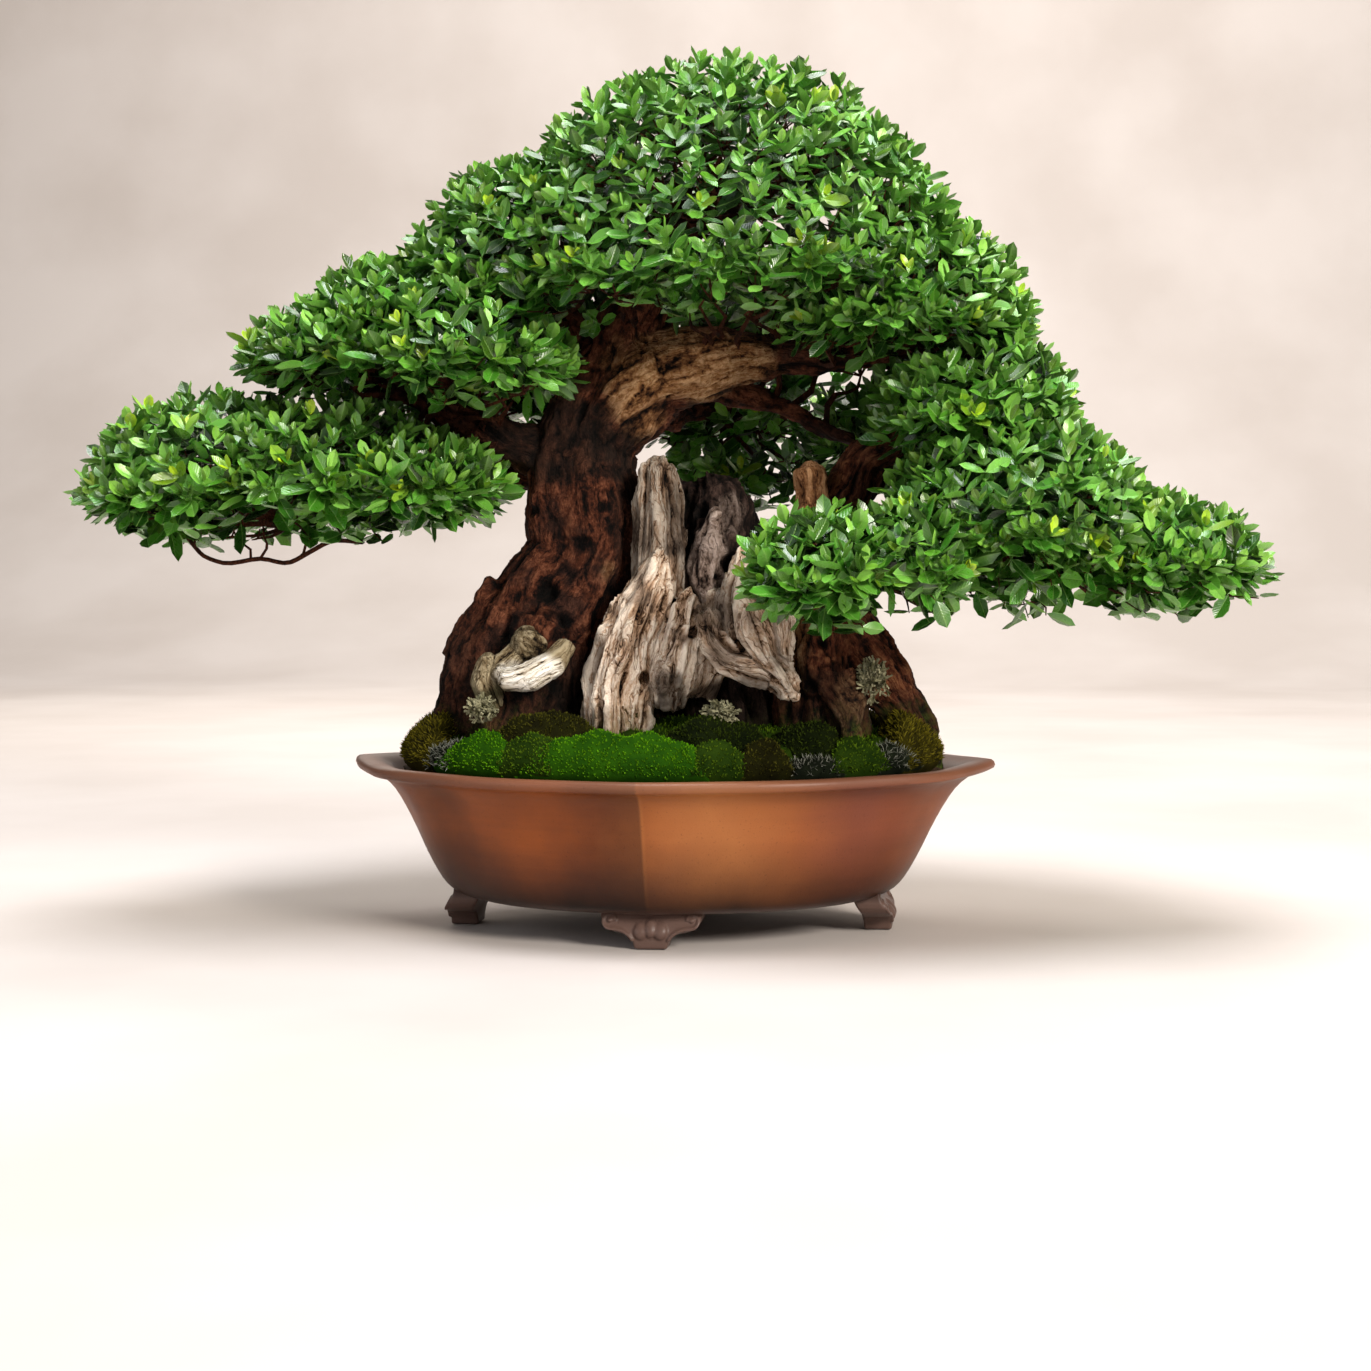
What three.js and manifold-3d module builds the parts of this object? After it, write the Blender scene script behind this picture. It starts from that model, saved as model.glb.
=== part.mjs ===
// Old myrtle bonsai with its flared clay pot, in millimetres, +Z up.
// The model is laid out round the pot's centre with z = 0 under the feet, and its group is then
// moved so that the origin is at the middle of the whole outline's bottom.
import * as THREE from 'three';
import { mergeVertices } from 'three/addons/utils/BufferGeometryUtils.js';
import Module from 'manifold-3d';

const wasm = await Module();
wasm.setup();
const { Manifold, Mesh: SolidMesh } = wasm;

// Driving dimensions of the pot
const RIM_HALF_WIDTH = 222;
const DEPTH_RATIO = 0.71;
const RIM_HEIGHT = 119;
const FOOT_HEIGHT = 25;
const WALL = 11;
const TIP_RISE = 3;
const POT_STEPS = 40;
const FLOOR_HEIGHT = 35;
const DRAIN_X = 75;
const DRAIN_RADIUS = 13;
const DRAIN_SIDES = 12;
const DRAIN_CUT = 40;
const FOOT_X = 150;
const FOOT_Y = 94;
const FOOT_WIDTH = 68;
const FOOT_DEPTH = 20;

// Driving dimensions of soil, wood and leaves
const SOIL_EDGE = 116;
const SOIL_CROWN = 20;
const SOIL_HALF_WIDTH = 190;
const SOIL_STEPS = 20;
const SCREEN_SIDE = 42;
const SCREEN_THICK = 1.6;
const SCREEN_HOLE = 8;
const SCREEN_PITCH = 12;
const SEAT = 0.35;
const CLEAR = 0.5;
const MOSS_CLEAR = 0.9;
const SLIVER = 0.08;
const MERGE_DISTANCE = 1e-4;
const LEAF_LENGTH = 66;
const LEAF_WIDTH = 36;
const LEAF_THICK = 2.6;
const LEAF_FOLD = 3.5;
const LEAF_ROOT = 10;
const LEAF_SPACING = 42.5;
const SPOT_TRIES = 900;
const LEAF_LIFT = 0.18;
const UNDERSIDE_THINNING = 1.5;
const CORE_INSET = 38;
const CORE_INSET_SHARE = 0.36;

const FULL_TURN = 2 * Math.PI;
const GOLDEN_TURN = Math.PI * (3 - Math.sqrt(5));

// Solids and geometries

function signedVolume(position, index) {
  const a = new THREE.Vector3();
  const b = new THREE.Vector3();
  const c = new THREE.Vector3();
  let sum = 0;
  for (let i = 0; i < index.count; i += 3) {
    a.fromBufferAttribute(position, index.getX(i));
    b.fromBufferAttribute(position, index.getX(i + 1));
    c.fromBufferAttribute(position, index.getX(i + 2));
    sum += a.dot(b.cross(c));
  }
  return sum / 6;
}

// A closed geometry as a solid, turned outwards if its faces point in
function solidOf(geometry) {
  const bare = geometry.clone();
  bare.deleteAttribute('normal');
  bare.deleteAttribute('uv');
  const merged = mergeVertices(bare, MERGE_DISTANCE);
  const inward = signedVolume(merged.attributes.position, merged.index) < 0;
  const triVerts = new Uint32Array(merged.index.array);
  if (inward) {
    for (let i = 0; i < triVerts.length; i += 3) {
      [triVerts[i], triVerts[i + 1]] = [triVerts[i + 1], triVerts[i]];
    }
  }
  const vertProperties = new Float32Array(merged.attributes.position.array);
  return new Manifold(new SolidMesh({ numProp: 3, vertProperties, triVerts }));
}

function geometryOf(solid) {
  const mesh = solid.getMesh();
  const geometry = new THREE.BufferGeometry();
  geometry.setAttribute('position', new THREE.BufferAttribute(new Float32Array(mesh.vertProperties), 3));
  geometry.setIndex(new THREE.BufferAttribute(new Uint32Array(mesh.triVerts), 1));
  geometry.computeVertexNormals();
  return geometry;
}

function join(solids) {
  return solids.reduce((whole, next) => whole.add(next));
}

function cut(solid, tools) {
  return tools.reduce((rest, tool) => rest.subtract(tool), solid);
}

// The largest body of a solid: loose scraps are dropped and sealed hollows filled
function mainBody(solid) {
  const bodies = solid.simplify(SLIVER).decompose();
  return bodies.reduce((best, next) => (next.volume() > best.volume() ? next : best));
}

// Rings of equal length joined to one closed skin, with a point in the middle of each end
function closedLoft(rings, first, last) {
  const sides = rings[0].length;
  const points = [first, ...rings.flat(), last];
  const index = [];
  const at = (ring, side) => 1 + ring * sides + (side % sides);
  for (let side = 0; side < sides; side += 1) {
    index.push(0, at(0, side + 1), at(0, side));
    for (let ring = 0; ring + 1 < rings.length; ring += 1) {
      index.push(at(ring, side), at(ring, side + 1), at(ring + 1, side + 1));
      index.push(at(ring, side), at(ring + 1, side + 1), at(ring + 1, side));
    }
    index.push(points.length - 1, at(rings.length - 1, side), at(rings.length - 1, side + 1));
  }
  const geometry = new THREE.BufferGeometry().setFromPoints(points);
  geometry.setIndex(index);
  return geometry;
}

// Gentle lumps that depend only on the place
function lumps(x, y, z, size) {
  const u = x / size;
  const v = y / size;
  const w = z / size;
  return (Math.sin(1.7 * u + 2.3 * v) + Math.sin(2.1 * v - 1.3 * w + 1) + Math.sin(1.9 * w + 1.1 * u + 2)) / 3;
}

// Repeatable random draws
function seeded(seed) {
  let state = seed;
  return () => {
    state = (state * 1664525 + 1013904223) % 4294967296;
    return state / 4294967296;
  };
}

// Pot

function angleGap(a, b) {
  const turn = Math.abs(a - b) % FULL_TURN;
  return Math.min(turn, FULL_TURN - turn);
}

function peak(angle, centres, halfWidth) {
  const nearest = Math.min(...centres.map((centre) => angleGap(angle, centre)));
  return Math.max(0, 1 - nearest / halfWidth) ** 1.5;
}

const TIP_ANGLES = [0, Math.PI];
const RIDGE_ANGLES = [Math.PI / 2, 1.5 * Math.PI];
const VALLEY_ANGLES = [0.25, 0.75, 1.25, 1.75].map((turn) => turn * Math.PI);

// Outline of the pot at one level: an oval with a point at each end, a ridge at front and back
// and a soft valley in each quarter. shaping is 0 on the round floor and 1 at the rim.
function potPoint(angle, halfWidth, z, shaping, spread = 0) {
  const tip = (0.012 + 0.036 * shaping ** 2) * peak(angle, TIP_ANGLES, 0.34);
  const ridge = (0.006 + 0.01 * shaping) * peak(angle, RIDGE_ANGLES, 0.27);
  const near = Math.min(...VALLEY_ANGLES.map((centre) => angleGap(angle, centre)));
  const valley = 0.02 * Math.min(1, 2 * shaping) * Math.exp(-((near / 0.2) ** 2));
  const reach = halfWidth * (1 + tip + ridge - valley) + spread;
  const rise = TIP_RISE * shaping ** 4 * peak(angle, TIP_ANGLES, 0.5);
  const depth = reach * DEPTH_RATIO + spread * (1 - DEPTH_RATIO);
  return new THREE.Vector3(reach * Math.cos(angle), depth * Math.sin(angle), z + rise);
}

// Rows of [half width, height, shaping] up the outside, over the lip and down the inside
const OUTER_ROWS = [
  [146, 24, 0],
  [157, 27.5, 0.05],
  [166, 36, 0.15],
  [176, 54, 0.35],
  [187, 79, 0.6],
  [198, 99, 0.8],
  [209, 108.5, 0.95],
  [221, 112, 1],
];
const LIP_ROWS = [
  [RIM_HALF_WIDTH, RIM_HEIGHT - 3, 1],
  [RIM_HALF_WIDTH - 6, RIM_HEIGHT, 1],
  [RIM_HALF_WIDTH - 20, RIM_HEIGHT - 2, 0.9],
];
const INNER_ROWS = [
  [198 - WALL, 96, 0.8],
  [187 - WALL, 76, 0.6],
  [176 - WALL, 52, 0.35],
  [158 - WALL, FLOOR_HEIGHT, 0.15],
];

function ovalRing([halfWidth, z, shaping], steps, spread = 0) {
  return Array.from({ length: steps }, (_, step) => {
    const angle = (FULL_TURN * step) / steps;
    return potPoint(angle, halfWidth, z, shaping, spread);
  });
}

// Cloud foot in the plane of its face: two side scrolls, a waist and a small pad to stand on
function footOutline() {
  const half = FOOT_WIDTH / 2;
  const shape = new THREE.Shape();
  shape.moveTo(-half, FOOT_HEIGHT + 6);
  shape.quadraticCurveTo(-half - 1, FOOT_HEIGHT - 5, -half + 9, FOOT_HEIGHT - 9);
  shape.quadraticCurveTo(-half + 14, FOOT_HEIGHT - 11, -half + 16, FOOT_HEIGHT - 14);
  shape.quadraticCurveTo(-half + 20, FOOT_HEIGHT - 20, -11, 5);
  shape.lineTo(-11, 0);
  shape.lineTo(11, 0);
  shape.lineTo(11, 5);
  shape.quadraticCurveTo(half - 20, FOOT_HEIGHT - 20, half - 16, FOOT_HEIGHT - 14);
  shape.quadraticCurveTo(half - 14, FOOT_HEIGHT - 11, half - 9, FOOT_HEIGHT - 9);
  shape.quadraticCurveTo(half + 1, FOOT_HEIGHT - 5, half, FOOT_HEIGHT + 6);
  return shape;
}

// Raised oval on the foot's face, as a flattened ball
function footBoss(x, z, halfWidth, halfHeight, proud, detail) {
  const ball = new THREE.IcosahedronGeometry(1, detail);
  ball.scale(halfWidth, proud, halfHeight);
  ball.translate(x, -FOOT_DEPTH / 2, z);
  return solidOf(ball);
}

// One foot with its face towards -Y, under the pot's edge at a distance from the centre
function foot(distance, turn) {
  const slab = new THREE.ExtrudeGeometry(footOutline(), { depth: FOOT_DEPTH, bevelEnabled: false, curveSegments: 2 });
  slab.rotateX(Math.PI / 2);
  slab.translate(0, FOOT_DEPTH / 2, 0);
  const medallion = footBoss(0, 15, 12, 7.5, 2.6, 1);
  const scrolls = [-1, 1].map((side) => footBoss(side * 25, FOOT_HEIGHT - 2, 6.5, 5, 2.2, 0));
  const whole = join([solidOf(slab), medallion, ...scrolls]);
  return whole.translate([0, -distance, 0]).rotate([0, 0, turn]);
}

function buildPot() {
  const rows = [...OUTER_ROWS, ...LIP_ROWS, ...INNER_ROWS];
  const rings = rows.map((row) => ovalRing(row, POT_STEPS));
  const bottom = new THREE.Vector3(0, 0, OUTER_ROWS[0][1] + 1);
  const floor = new THREE.Vector3(0, 0, FLOOR_HEIGHT);
  const bowl = solidOf(closedLoft(rings, bottom, floor));
  const hollowRows = [[RIM_HALF_WIDTH - 26, RIM_HEIGHT + 20, 0.9], [RIM_HALF_WIDTH - 26, 90, 0.8], ...INNER_ROWS.slice(1)];
  const hollow = solidOf(
    closedLoft(hollowRows.map((row) => ovalRing(row, POT_STEPS, -1)), new THREE.Vector3(0, 0, RIM_HEIGHT + 20), floor),
  );
  const feet = [
    foot(FOOT_Y, 0),
    foot(FOOT_Y, 180),
    foot(FOOT_X, 90),
    foot(FOOT_X, -90),
  ].map((one) => one.subtract(hollow));
  const drains = [-DRAIN_X, DRAIN_X].map((x) => {
    const hole = new THREE.CylinderGeometry(DRAIN_RADIUS, DRAIN_RADIUS, DRAIN_CUT, DRAIN_SIDES);
    hole.rotateX(Math.PI / 2);
    hole.translate(x, 0, (FOOT_HEIGHT + FLOOR_HEIGHT) / 2);
    return solidOf(hole);
  });
  return mainBody(cut(join([bowl, ...feet]), drains));
}

// Soil and drain screens

function soilTop(x, y) {
  const share = Math.min(1, (x / SOIL_HALF_WIDTH) ** 2 + (y / (SOIL_HALF_WIDTH * DEPTH_RATIO)) ** 2);
  return SOIL_EDGE + SOIL_CROWN * (1 - share);
}

// A square screen with four square holes, lying on the pot's floor over one drain hole
function buildScreen(x) {
  const plate = new THREE.BoxGeometry(SCREEN_SIDE, SCREEN_SIDE, SCREEN_THICK);
  const holes = [];
  for (const across of [-0.5, 0.5]) {
    for (const deep of [-0.5, 0.5]) {
      const hole = new THREE.BoxGeometry(SCREEN_HOLE, SCREEN_HOLE, 3 * SCREEN_THICK);
      hole.translate(across * SCREEN_PITCH, deep * SCREEN_PITCH, 0);
      holes.push(solidOf(hole));
    }
  }
  return cut(solidOf(plate), holes).translate([x, 0, FLOOR_HEIGHT + SEAT + SCREEN_THICK / 2]);
}

function soilRings(lift) {
  const wall = [
    [159 - WALL, 38, 0.15],
    [176 - WALL, 52.5, 0.35],
    [187 - WALL, 76, 0.6],
    [198 - WALL, 96, 0.8],
    [203 - WALL, SOIL_EDGE - 4, 0.85],
  ].map((row) => ovalRing(row, SOIL_STEPS, lift - SEAT - 0.5));
  const top = [0.93, 0.62, 0.3].map((share) =>
    wall[4].map((edge) => {
      const x = edge.x * share;
      const y = edge.y * share;
      return new THREE.Vector3(x, y, soilTop(x, y) + lift);
    }),
  );
  return [...wall, ...top];
}

function soilSolid(lift) {
  const bottom = new THREE.Vector3(0, 0, FLOOR_HEIGHT + SEAT);
  const crown = new THREE.Vector3(0, 0, SOIL_EDGE + SOIL_CROWN + lift);
  return solidOf(closedLoft(soilRings(lift), bottom, crown));
}

// Wood: tapering limbs along curves

function limb(stations, options = {}, grow = 0) {
  const { sides = 8, rows = 1, flute = 0.1, lobes = 3, phase = 0, tip = 0.5, flat = 1 } = options;
  const curve = new THREE.CatmullRomCurve3(
    stations.map(([x, y, z]) => new THREE.Vector3(x, y, z)),
    false,
    'centripetal',
  );
  const steps = (stations.length - 1) * rows;
  const rings = [];
  let across = new THREE.Vector3(1, 0, 0);
  for (let step = 0; step <= steps; step += 1) {
    const t = step / steps;
    const centre = curve.getPoint(t);
    const along = curve.getTangent(t);
    across = across.clone().addScaledVector(along, -across.dot(along)).normalize();
    const beside = new THREE.Vector3().crossVectors(along, across);
    const place = t * (stations.length - 1);
    const low = Math.min(Math.floor(place), stations.length - 2);
    const radius = THREE.MathUtils.lerp(stations[low][3], stations[low + 1][3], place - low);
    rings.push(
      Array.from({ length: sides }, (_, side) => {
        const angle = (FULL_TURN * side) / sides;
        const wave = flute * Math.sin(lobes * angle + phase + 2.2 * t);
        const reach = radius * (1 + wave) + grow;
        return centre
          .clone()
          .addScaledVector(across, reach * Math.cos(angle))
          .addScaledVector(beside, (reach - grow) * flat * Math.sin(angle) + grow * Math.sin(angle));
      }),
    );
  }
  const end = stations.length - 1;
  const start = curve.getPoint(0).addScaledVector(curve.getTangent(0), -grow);
  const finish = curve.getPoint(1).addScaledVector(curve.getTangent(1), tip * stations[end][3] + grow);
  return solidOf(closedLoft(rings, start, finish));
}

// Limbs fused to one piece, with its own outline grown by the clearance round it
function grown(limbs) {
  return {
    body: join(limbs.map(([stations, options]) => limb(stations, options))),
    clear: join(limbs.map(([stations, options]) => limb(stations, options, CLEAR))),
  };
}

const BARK = { sides: 8, flute: 0.1, lobes: 3 };
const TWIG = { sides: 5, flute: 0.05, lobes: 2 };

// Each station is [x, y, z, radius]
const TRUNK_LIMBS = [
  [[[-108, 6, 92, 66], [-106, 2, 150, 59], [-98, 0, 200, 55], [-80, 0, 240, 47], [-64, 0, 268, 42], [-66, 0, 300, 43],
    [-68, 0, 330, 38], [-60, 0, 362, 34], [-46, 0, 395, 30], [-34, 0, 430, 27], [-12, 0, 470, 21], [14, 0, 515, 13]],
  { sides: 14, flute: 0.09, lobes: 5, flat: 0.9 }],
  [[[-40, 18, 92, 52], [-34, 14, 150, 46], [-42, 8, 210, 36], [-58, 4, 250, 26]], { ...BARK, sides: 10 }],
  [[[-112, -4, 238, 28], [-137, -12, 196, 29], [-151, -22, 150, 21], [-158, -26, 108, 14]], BARK],
  [[[-88, -30, 215, 26], [-100, -46, 175, 22], [-112, -56, 135, 17], [-118, -60, 105, 12]], BARK],
  [[[-92, 34, 200, 30], [-116, 62, 155, 23], [-132, 80, 108, 15]], BARK],
  [[[-55, 40, 185, 28], [-30, 68, 148, 20], [-18, 86, 108, 13]], BARK],
  [[[-58, 0, 352, 30], [-16, -2, 400, 33], [34, -4, 411, 24], [82, 0, 412, 15], [128, 2, 410, 11], [170, 0, 420, 8]],
    { ...BARK, sides: 10 }],
  [[[-84, -2, 338, 22], [-122, -10, 352, 16], [-160, -20, 372, 12], [-205, -24, 392, 8]], BARK],
  [[[-80, 14, 325, 17], [-130, 20, 326, 12], [-190, 4, 312, 9], [-262, -18, 304, 6]], TWIG],
  [[[-124, 20, 326, 9], [-168, 48, 324, 8], [-214, 70, 318, 6]], TWIG],
  [[[-62, 12, 362, 18], [-88, 60, 384, 12], [-118, 100, 398, 8]], TWIG],
  [[[-20, 14, 372, 15], [6, 62, 376, 10], [26, 104, 380, 7]], TWIG],
  [[[-40, 0, 402, 18], [-66, -2, 430, 12], [-92, -4, 456, 8]], TWIG],
  [[[10, -2, 392, 12], [46, 26, 386, 8], [80, 42, 378, 7], [108, 40, 360, 6], [132, 34, 352, 5]], TWIG],
  [[[-24, -36, 250, 12], [-27, -40, 252, 11]], { sides: 7, tip: 0.8 }],
];

const RIGHT_LIMBS = [
  [[[112, 2, 92, 40], [110, -6, 140, 34], [105, -10, 190, 28], [104, -8, 235, 24], [112, -4, 275, 21], [126, 2, 310, 18],
    [142, 2, 338, 15], [172, -4, 356, 12], [205, -12, 366, 8]], { sides: 12, flute: 0.12, lobes: 4 }],
  [[[104, -14, 262, 17], [102, -18, 300, 15], [101, -19, 328, 12]], { ...BARK, sides: 7, tip: 0.6 }],
  [[[124, 4, 215, 24], [152, 8, 176, 21], [176, 12, 142, 16], [183, 12, 108, 9]], BARK],
  [[[122, -28, 178, 16], [131, -44, 158, 11], [134, -54, 138, 5]], { sides: 7, tip: 1.5 }],
  [[[110, 24, 180, 22], [122, 58, 145, 16], [126, 74, 106, 10]], BARK],
  [[[112, -8, 268, 14], [156, -28, 276, 11], [208, -50, 270, 8], [268, -52, 262, 6]], TWIG],
  [[[108, -16, 246, 11], [116, -66, 254, 8], [122, -108, 258, 6]], TWIG],
  [[[124, 10, 306, 13], [152, 62, 328, 9], [176, 98, 342, 7]], TWIG],
  [[[118, 8, 284, 12], [170, 40, 290, 9], [232, 62, 284, 6]], TWIG],
];

const SHARD = { sides: 8, flute: 0.2, lobes: 4, flat: 0.8, tip: 1.6 };
const FRONT_DEAD_LIMBS = [
  [[[-32, -56, 104, 23], [-31, -58, 160, 23], [-22, -56, 205, 21], [-9, -52, 245, 14], [-2, -48, 268, 5]], SHARD],
  [[[4, -53, 164, 13], [7, -56, 182, 19], [13, -54, 210, 16], [19, -48, 240, 6]], { ...SHARD, phase: 1 }],
  [[[24, -44, 168, 13], [30, -46, 190, 16], [34, -42, 215, 11], [37, -38, 238, 5]], { ...SHARD, phase: 2 }],
  [[[59, -40, 271, 5], [57, -44, 246, 13], [62, -48, 216, 18], [72, -51, 194, 14], [86, -54, 180, 10], [94, -56, 171, 5]],
    { ...SHARD, phase: 0.5 }],
  [[[30, -50, 226, 8], [36, -52, 208, 12], [48, -53, 195, 13], [66, -54, 188, 12], [82, -54, 184, 9]], { ...SHARD, phase: 1.5 }],
  [[[84, -38, 240, 4], [84, -42, 220, 9], [82, -46, 195, 10]], { ...SHARD, phase: 2.5 }],
  [[[-4, -30, 240, 18], [-5, -28, 300, 16], [-6, -26, 330, 13]], { ...SHARD, phase: 0.8, tip: 0.6 }],
];
const BACK_DEAD_LIMBS = [
  [[[40, 0, 96, 40], [38, -2, 160, 34], [35, -4, 220, 31], [33, -2, 270, 31], [34, 2, 300, 26], [28, 4, 322, 17]],
    { sides: 11, flute: 0.16, lobes: 5, phase: 0.4, tip: 0.5 }],
  [[[30, -24, 222, 12], [27, -32, 250, 14], [32, -34, 280, 10], [36, -34, 297, 4]], { ...SHARD, phase: 1.2 }],
  [[[2, 8, 140, 24], [0, 8, 220, 22], [2, 8, 285, 20], [6, 6, 320, 13]], { ...SHARD, phase: 0.2, tip: 0.6 }],
];
const WORN_ROOT_LIMBS = [
  [[[-66, -58, 205, 7], [-73, -72, 192, 10], [-87, -80, 183, 11], [-103, -80, 181, 9], [-113, -74, 187, 5]],
    { sides: 8, flute: 0.06 }],
  [[[-92, -48, 200, 12], [-93, -62, 206, 13], [-94, -68, 214, 9]], { sides: 7, flute: 0.12 }],
  [[[-116, -58, 160, 12], [-121, -66, 180, 13], [-119, -66, 196, 8]], { sides: 7, flute: 0.12 }],
  [[[-94, -58, 206, 8], [-104, -66, 196, 9], [-117, -66, 186, 8]], { sides: 6, flute: 0.05 }],
];

// Moss cushions: [name, colour, half width, half depth, top height, [x, y] of each mound]
const MOSS = [
  ['moss_left_bank', 'olive', 26, 48, 160, [[-174, -28]]],
  ['moss_left_hoary', 'hoary', 19, 16, 148, [[-142, -79]]],
  ['moss_front_left_bright', 'bright', 34, 24, 146, [[-124, -104]]],
  ['moss_front_left_small', 'mid', 20, 20, 143, [[-80, -120]]],
  ['moss_left_brown', 'brown', 24, 22, 157, [[-88, -86], [-56, -88]]],
  ['moss_centre_bright', 'bright', 37, 22, 147, [[-36, -121], [-3, -123]]],
  ['moss_centre_small', 'mid', 17, 15, 142, [[50, -123]]],
  ['moss_centre_dark', 'dark', 21, 22, 153, [[26, -90], [57, -88]]],
  ['moss_front_hoary', 'hoary', 20, 17, 140, [[110, -107]]],
  ['moss_front_mid', 'mid', 19, 18, 142, [[80, -117]]],
  ['moss_right_mid', 'mid', 22, 20, 144, [[142, -90]]],
  ['moss_right_dark', 'dark', 24, 18, 152, [[104, -82]]],
  ['moss_right_hoary', 'hoary', 19, 19, 146, [[166, -66]]],
  ['moss_right_bank', 'olive', 24, 42, 158, [[180, -8]]],
  ['moss_back_left', 'mid', 40, 26, 147, [[-136, 74]]],
  ['moss_back_centre', 'bright', 44, 24, 147, [[-44, 116]]],
  ['moss_back_right', 'dark', 40, 24, 146, [[50, 112]]],
  ['moss_back_right_bank', 'olive', 32, 30, 148, [[140, 74]]],
];

// A cushion: a low bumpy dome that stands in the soil, as rings of [share of height, share of width]
const MOUND_RINGS = [[-0.4, 0.8], [0.25, 1], [0.78, 0.66]];
const MOUND_SIDES = 7;

function mound(x, y, halfWidth, halfDepth, top, grow) {
  const base = soilTop(x, y);
  const height = top - base;
  const rings = MOUND_RINGS.map(([rise, share]) =>
    Array.from({ length: MOUND_SIDES }, (_, side) => {
      const angle = (FULL_TURN * (side + rise)) / MOUND_SIDES;
      const swell = share * (1 + 0.09 * lumps(x + 9 * side, y + 40 * rise, 5 * side, 6));
      return new THREE.Vector3(
        x + (halfWidth * swell + grow) * Math.cos(angle),
        y + (halfDepth * swell + grow) * Math.sin(angle),
        base + height * rise + grow * Math.sign(rise),
      );
    }),
  );
  const foot = new THREE.Vector3(x, y, base - 0.4 * height - grow);
  return solidOf(closedLoft(rings, foot, new THREE.Vector3(x, y, top + grow)));
}

// The room above the soil inside the rim, which keeps moss off the lip
function rimColumn() {
  const lip = LIP_ROWS[LIP_ROWS.length - 1];
  const [wallTop] = INNER_ROWS;
  const sky = [lip[0], 2 * RIM_HEIGHT, lip[2]];
  const rings = [wallTop, lip, sky].map((row) => ovalRing(row, POT_STEPS, -1));
  return solidOf(closedLoft(rings, new THREE.Vector3(0, 0, wallTop[1]), new THREE.Vector3(0, 0, sky[1])));
}

// Lichen tufts: [name, x, y, z, half width, half height, knobs]
const LICHENS = [
  ['lichen_left', -121, -80.5, 158, 12, 12, 8],
  ['lichen_centre', 46, -83, 155, 13, 12, 8],
  ['lichen_right', 143, -36, 176, 17, 19, 11],
];

function lichenTuft(x, y, z, halfWidth, halfHeight, knobs) {
  const heart = new THREE.IcosahedronGeometry(1, 0);
  heart.scale(halfWidth * 0.75, halfWidth * 0.75, halfHeight * 0.8);
  const pieces = [solidOf(heart)];
  for (let knob = 0; knob < knobs; knob += 1) {
    const upward = 0.95 - (1.2 * knob) / knobs;
    const round = Math.sqrt(1 - upward * upward);
    const turn = knob * GOLDEN_TURN;
    const out = new THREE.Vector3(round * Math.cos(turn), round * Math.sin(turn), upward);
    const stalk = new THREE.ConeGeometry(halfWidth * 0.28, halfWidth * 1.15, 4);
    stalk.rotateX(-Math.PI / 2);
    stalk.applyQuaternion(new THREE.Quaternion().setFromUnitVectors(new THREE.Vector3(0, 0, -1), out));
    stalk.translate(out.x * halfWidth * 0.62, out.y * halfWidth * 0.62, out.z * halfHeight * 0.62);
    pieces.push(solidOf(stalk));
  }
  return join(pieces).translate([x, y, z]);
}

// Foliage pads: each blob is [x, y, z, half width, half depth, height above z, depth below z]
const PADS = [
  ['crown_foliage', 'leaf', [[40, -8, 460, 172, 166, 170, 32]]],
  ['crown_right_foliage', 'leaf', [[168, 4, 430, 98, 135, 94, 30]]],
  ['crown_left_foliage', 'leaf', [[-86, 0, 456, 112, 128, 110, 36]]],
  ['left_upper_foliage', 'leaf', [[-212, -18, 410, 96, 112, 54, 32], [-132, -72, 404, 78, 88, 66, 34]]],
  ['left_lower_foliage', 'leaf', [[-326, -30, 312, 97, 104, 80, 34], [-236, -40, 318, 98, 106, 68, 36],
    [-165, -60, 318, 58, 84, 42, 36]]],
  ['right_upper_foliage', 'leaf', [[222, -16, 364, 76, 112, 70, 36]]],
  ['right_lower_foliage', 'leaf', [[248, -62, 290, 100, 108, 82, 68], [340, -34, 264, 86, 96, 54, 40]]],
  ['right_front_foliage', 'leaf', [[124, -142, 258, 62, 60, 48, 44]]],
  ['back_centre_foliage', 'leaf', [[40, 150, 378, 96, 82, 60, 44]]],
  ['back_left_foliage', 'leaf', [[-150, 122, 402, 106, 92, 58, 34]]],
  ['back_right_foliage', 'leaf', [[196, 118, 356, 104, 88, 62, 40]]],
  ['back_left_low_foliage', 'leaf', [[-240, 82, 322, 96, 80, 56, 36]]],
  ['back_right_low_foliage', 'leaf', [[270, 70, 286, 84, 78, 46, 38]]],
];

// Half sizes of the core inside a blob: [half width, half depth, height above, depth below]
function coreSizes([, , , halfWidth, halfDepth, above, below]) {
  const inset = Math.min(CORE_INSET, CORE_INSET_SHARE * Math.min(halfWidth, halfDepth));
  return [halfWidth - inset, halfDepth - inset, above - Math.min(inset, 0.45 * above), 0.42 * below];
}

function blobCore(blob, grow) {
  const [x, y, z] = blob;
  const [halfWidth, halfDepth, above, below] = coreSizes(blob);
  const ball = new THREE.IcosahedronGeometry(1, halfWidth > 100 ? 2 : 1);
  const position = ball.attributes.position;
  for (let i = 0; i < position.count; i += 1) {
    const px = position.getX(i);
    const py = position.getY(i);
    const pz = position.getZ(i);
    const swell = 1 + 0.11 * lumps(px * 10 + x, py * 10 + y, pz * 10 + z, 4);
    position.setXYZ(
      i,
      x + px * (halfWidth * swell + grow),
      y + py * (halfDepth * swell + grow),
      z + pz * ((pz > 0 ? above : below) * swell + grow),
    );
  }
  return solidOf(ball);
}

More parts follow.
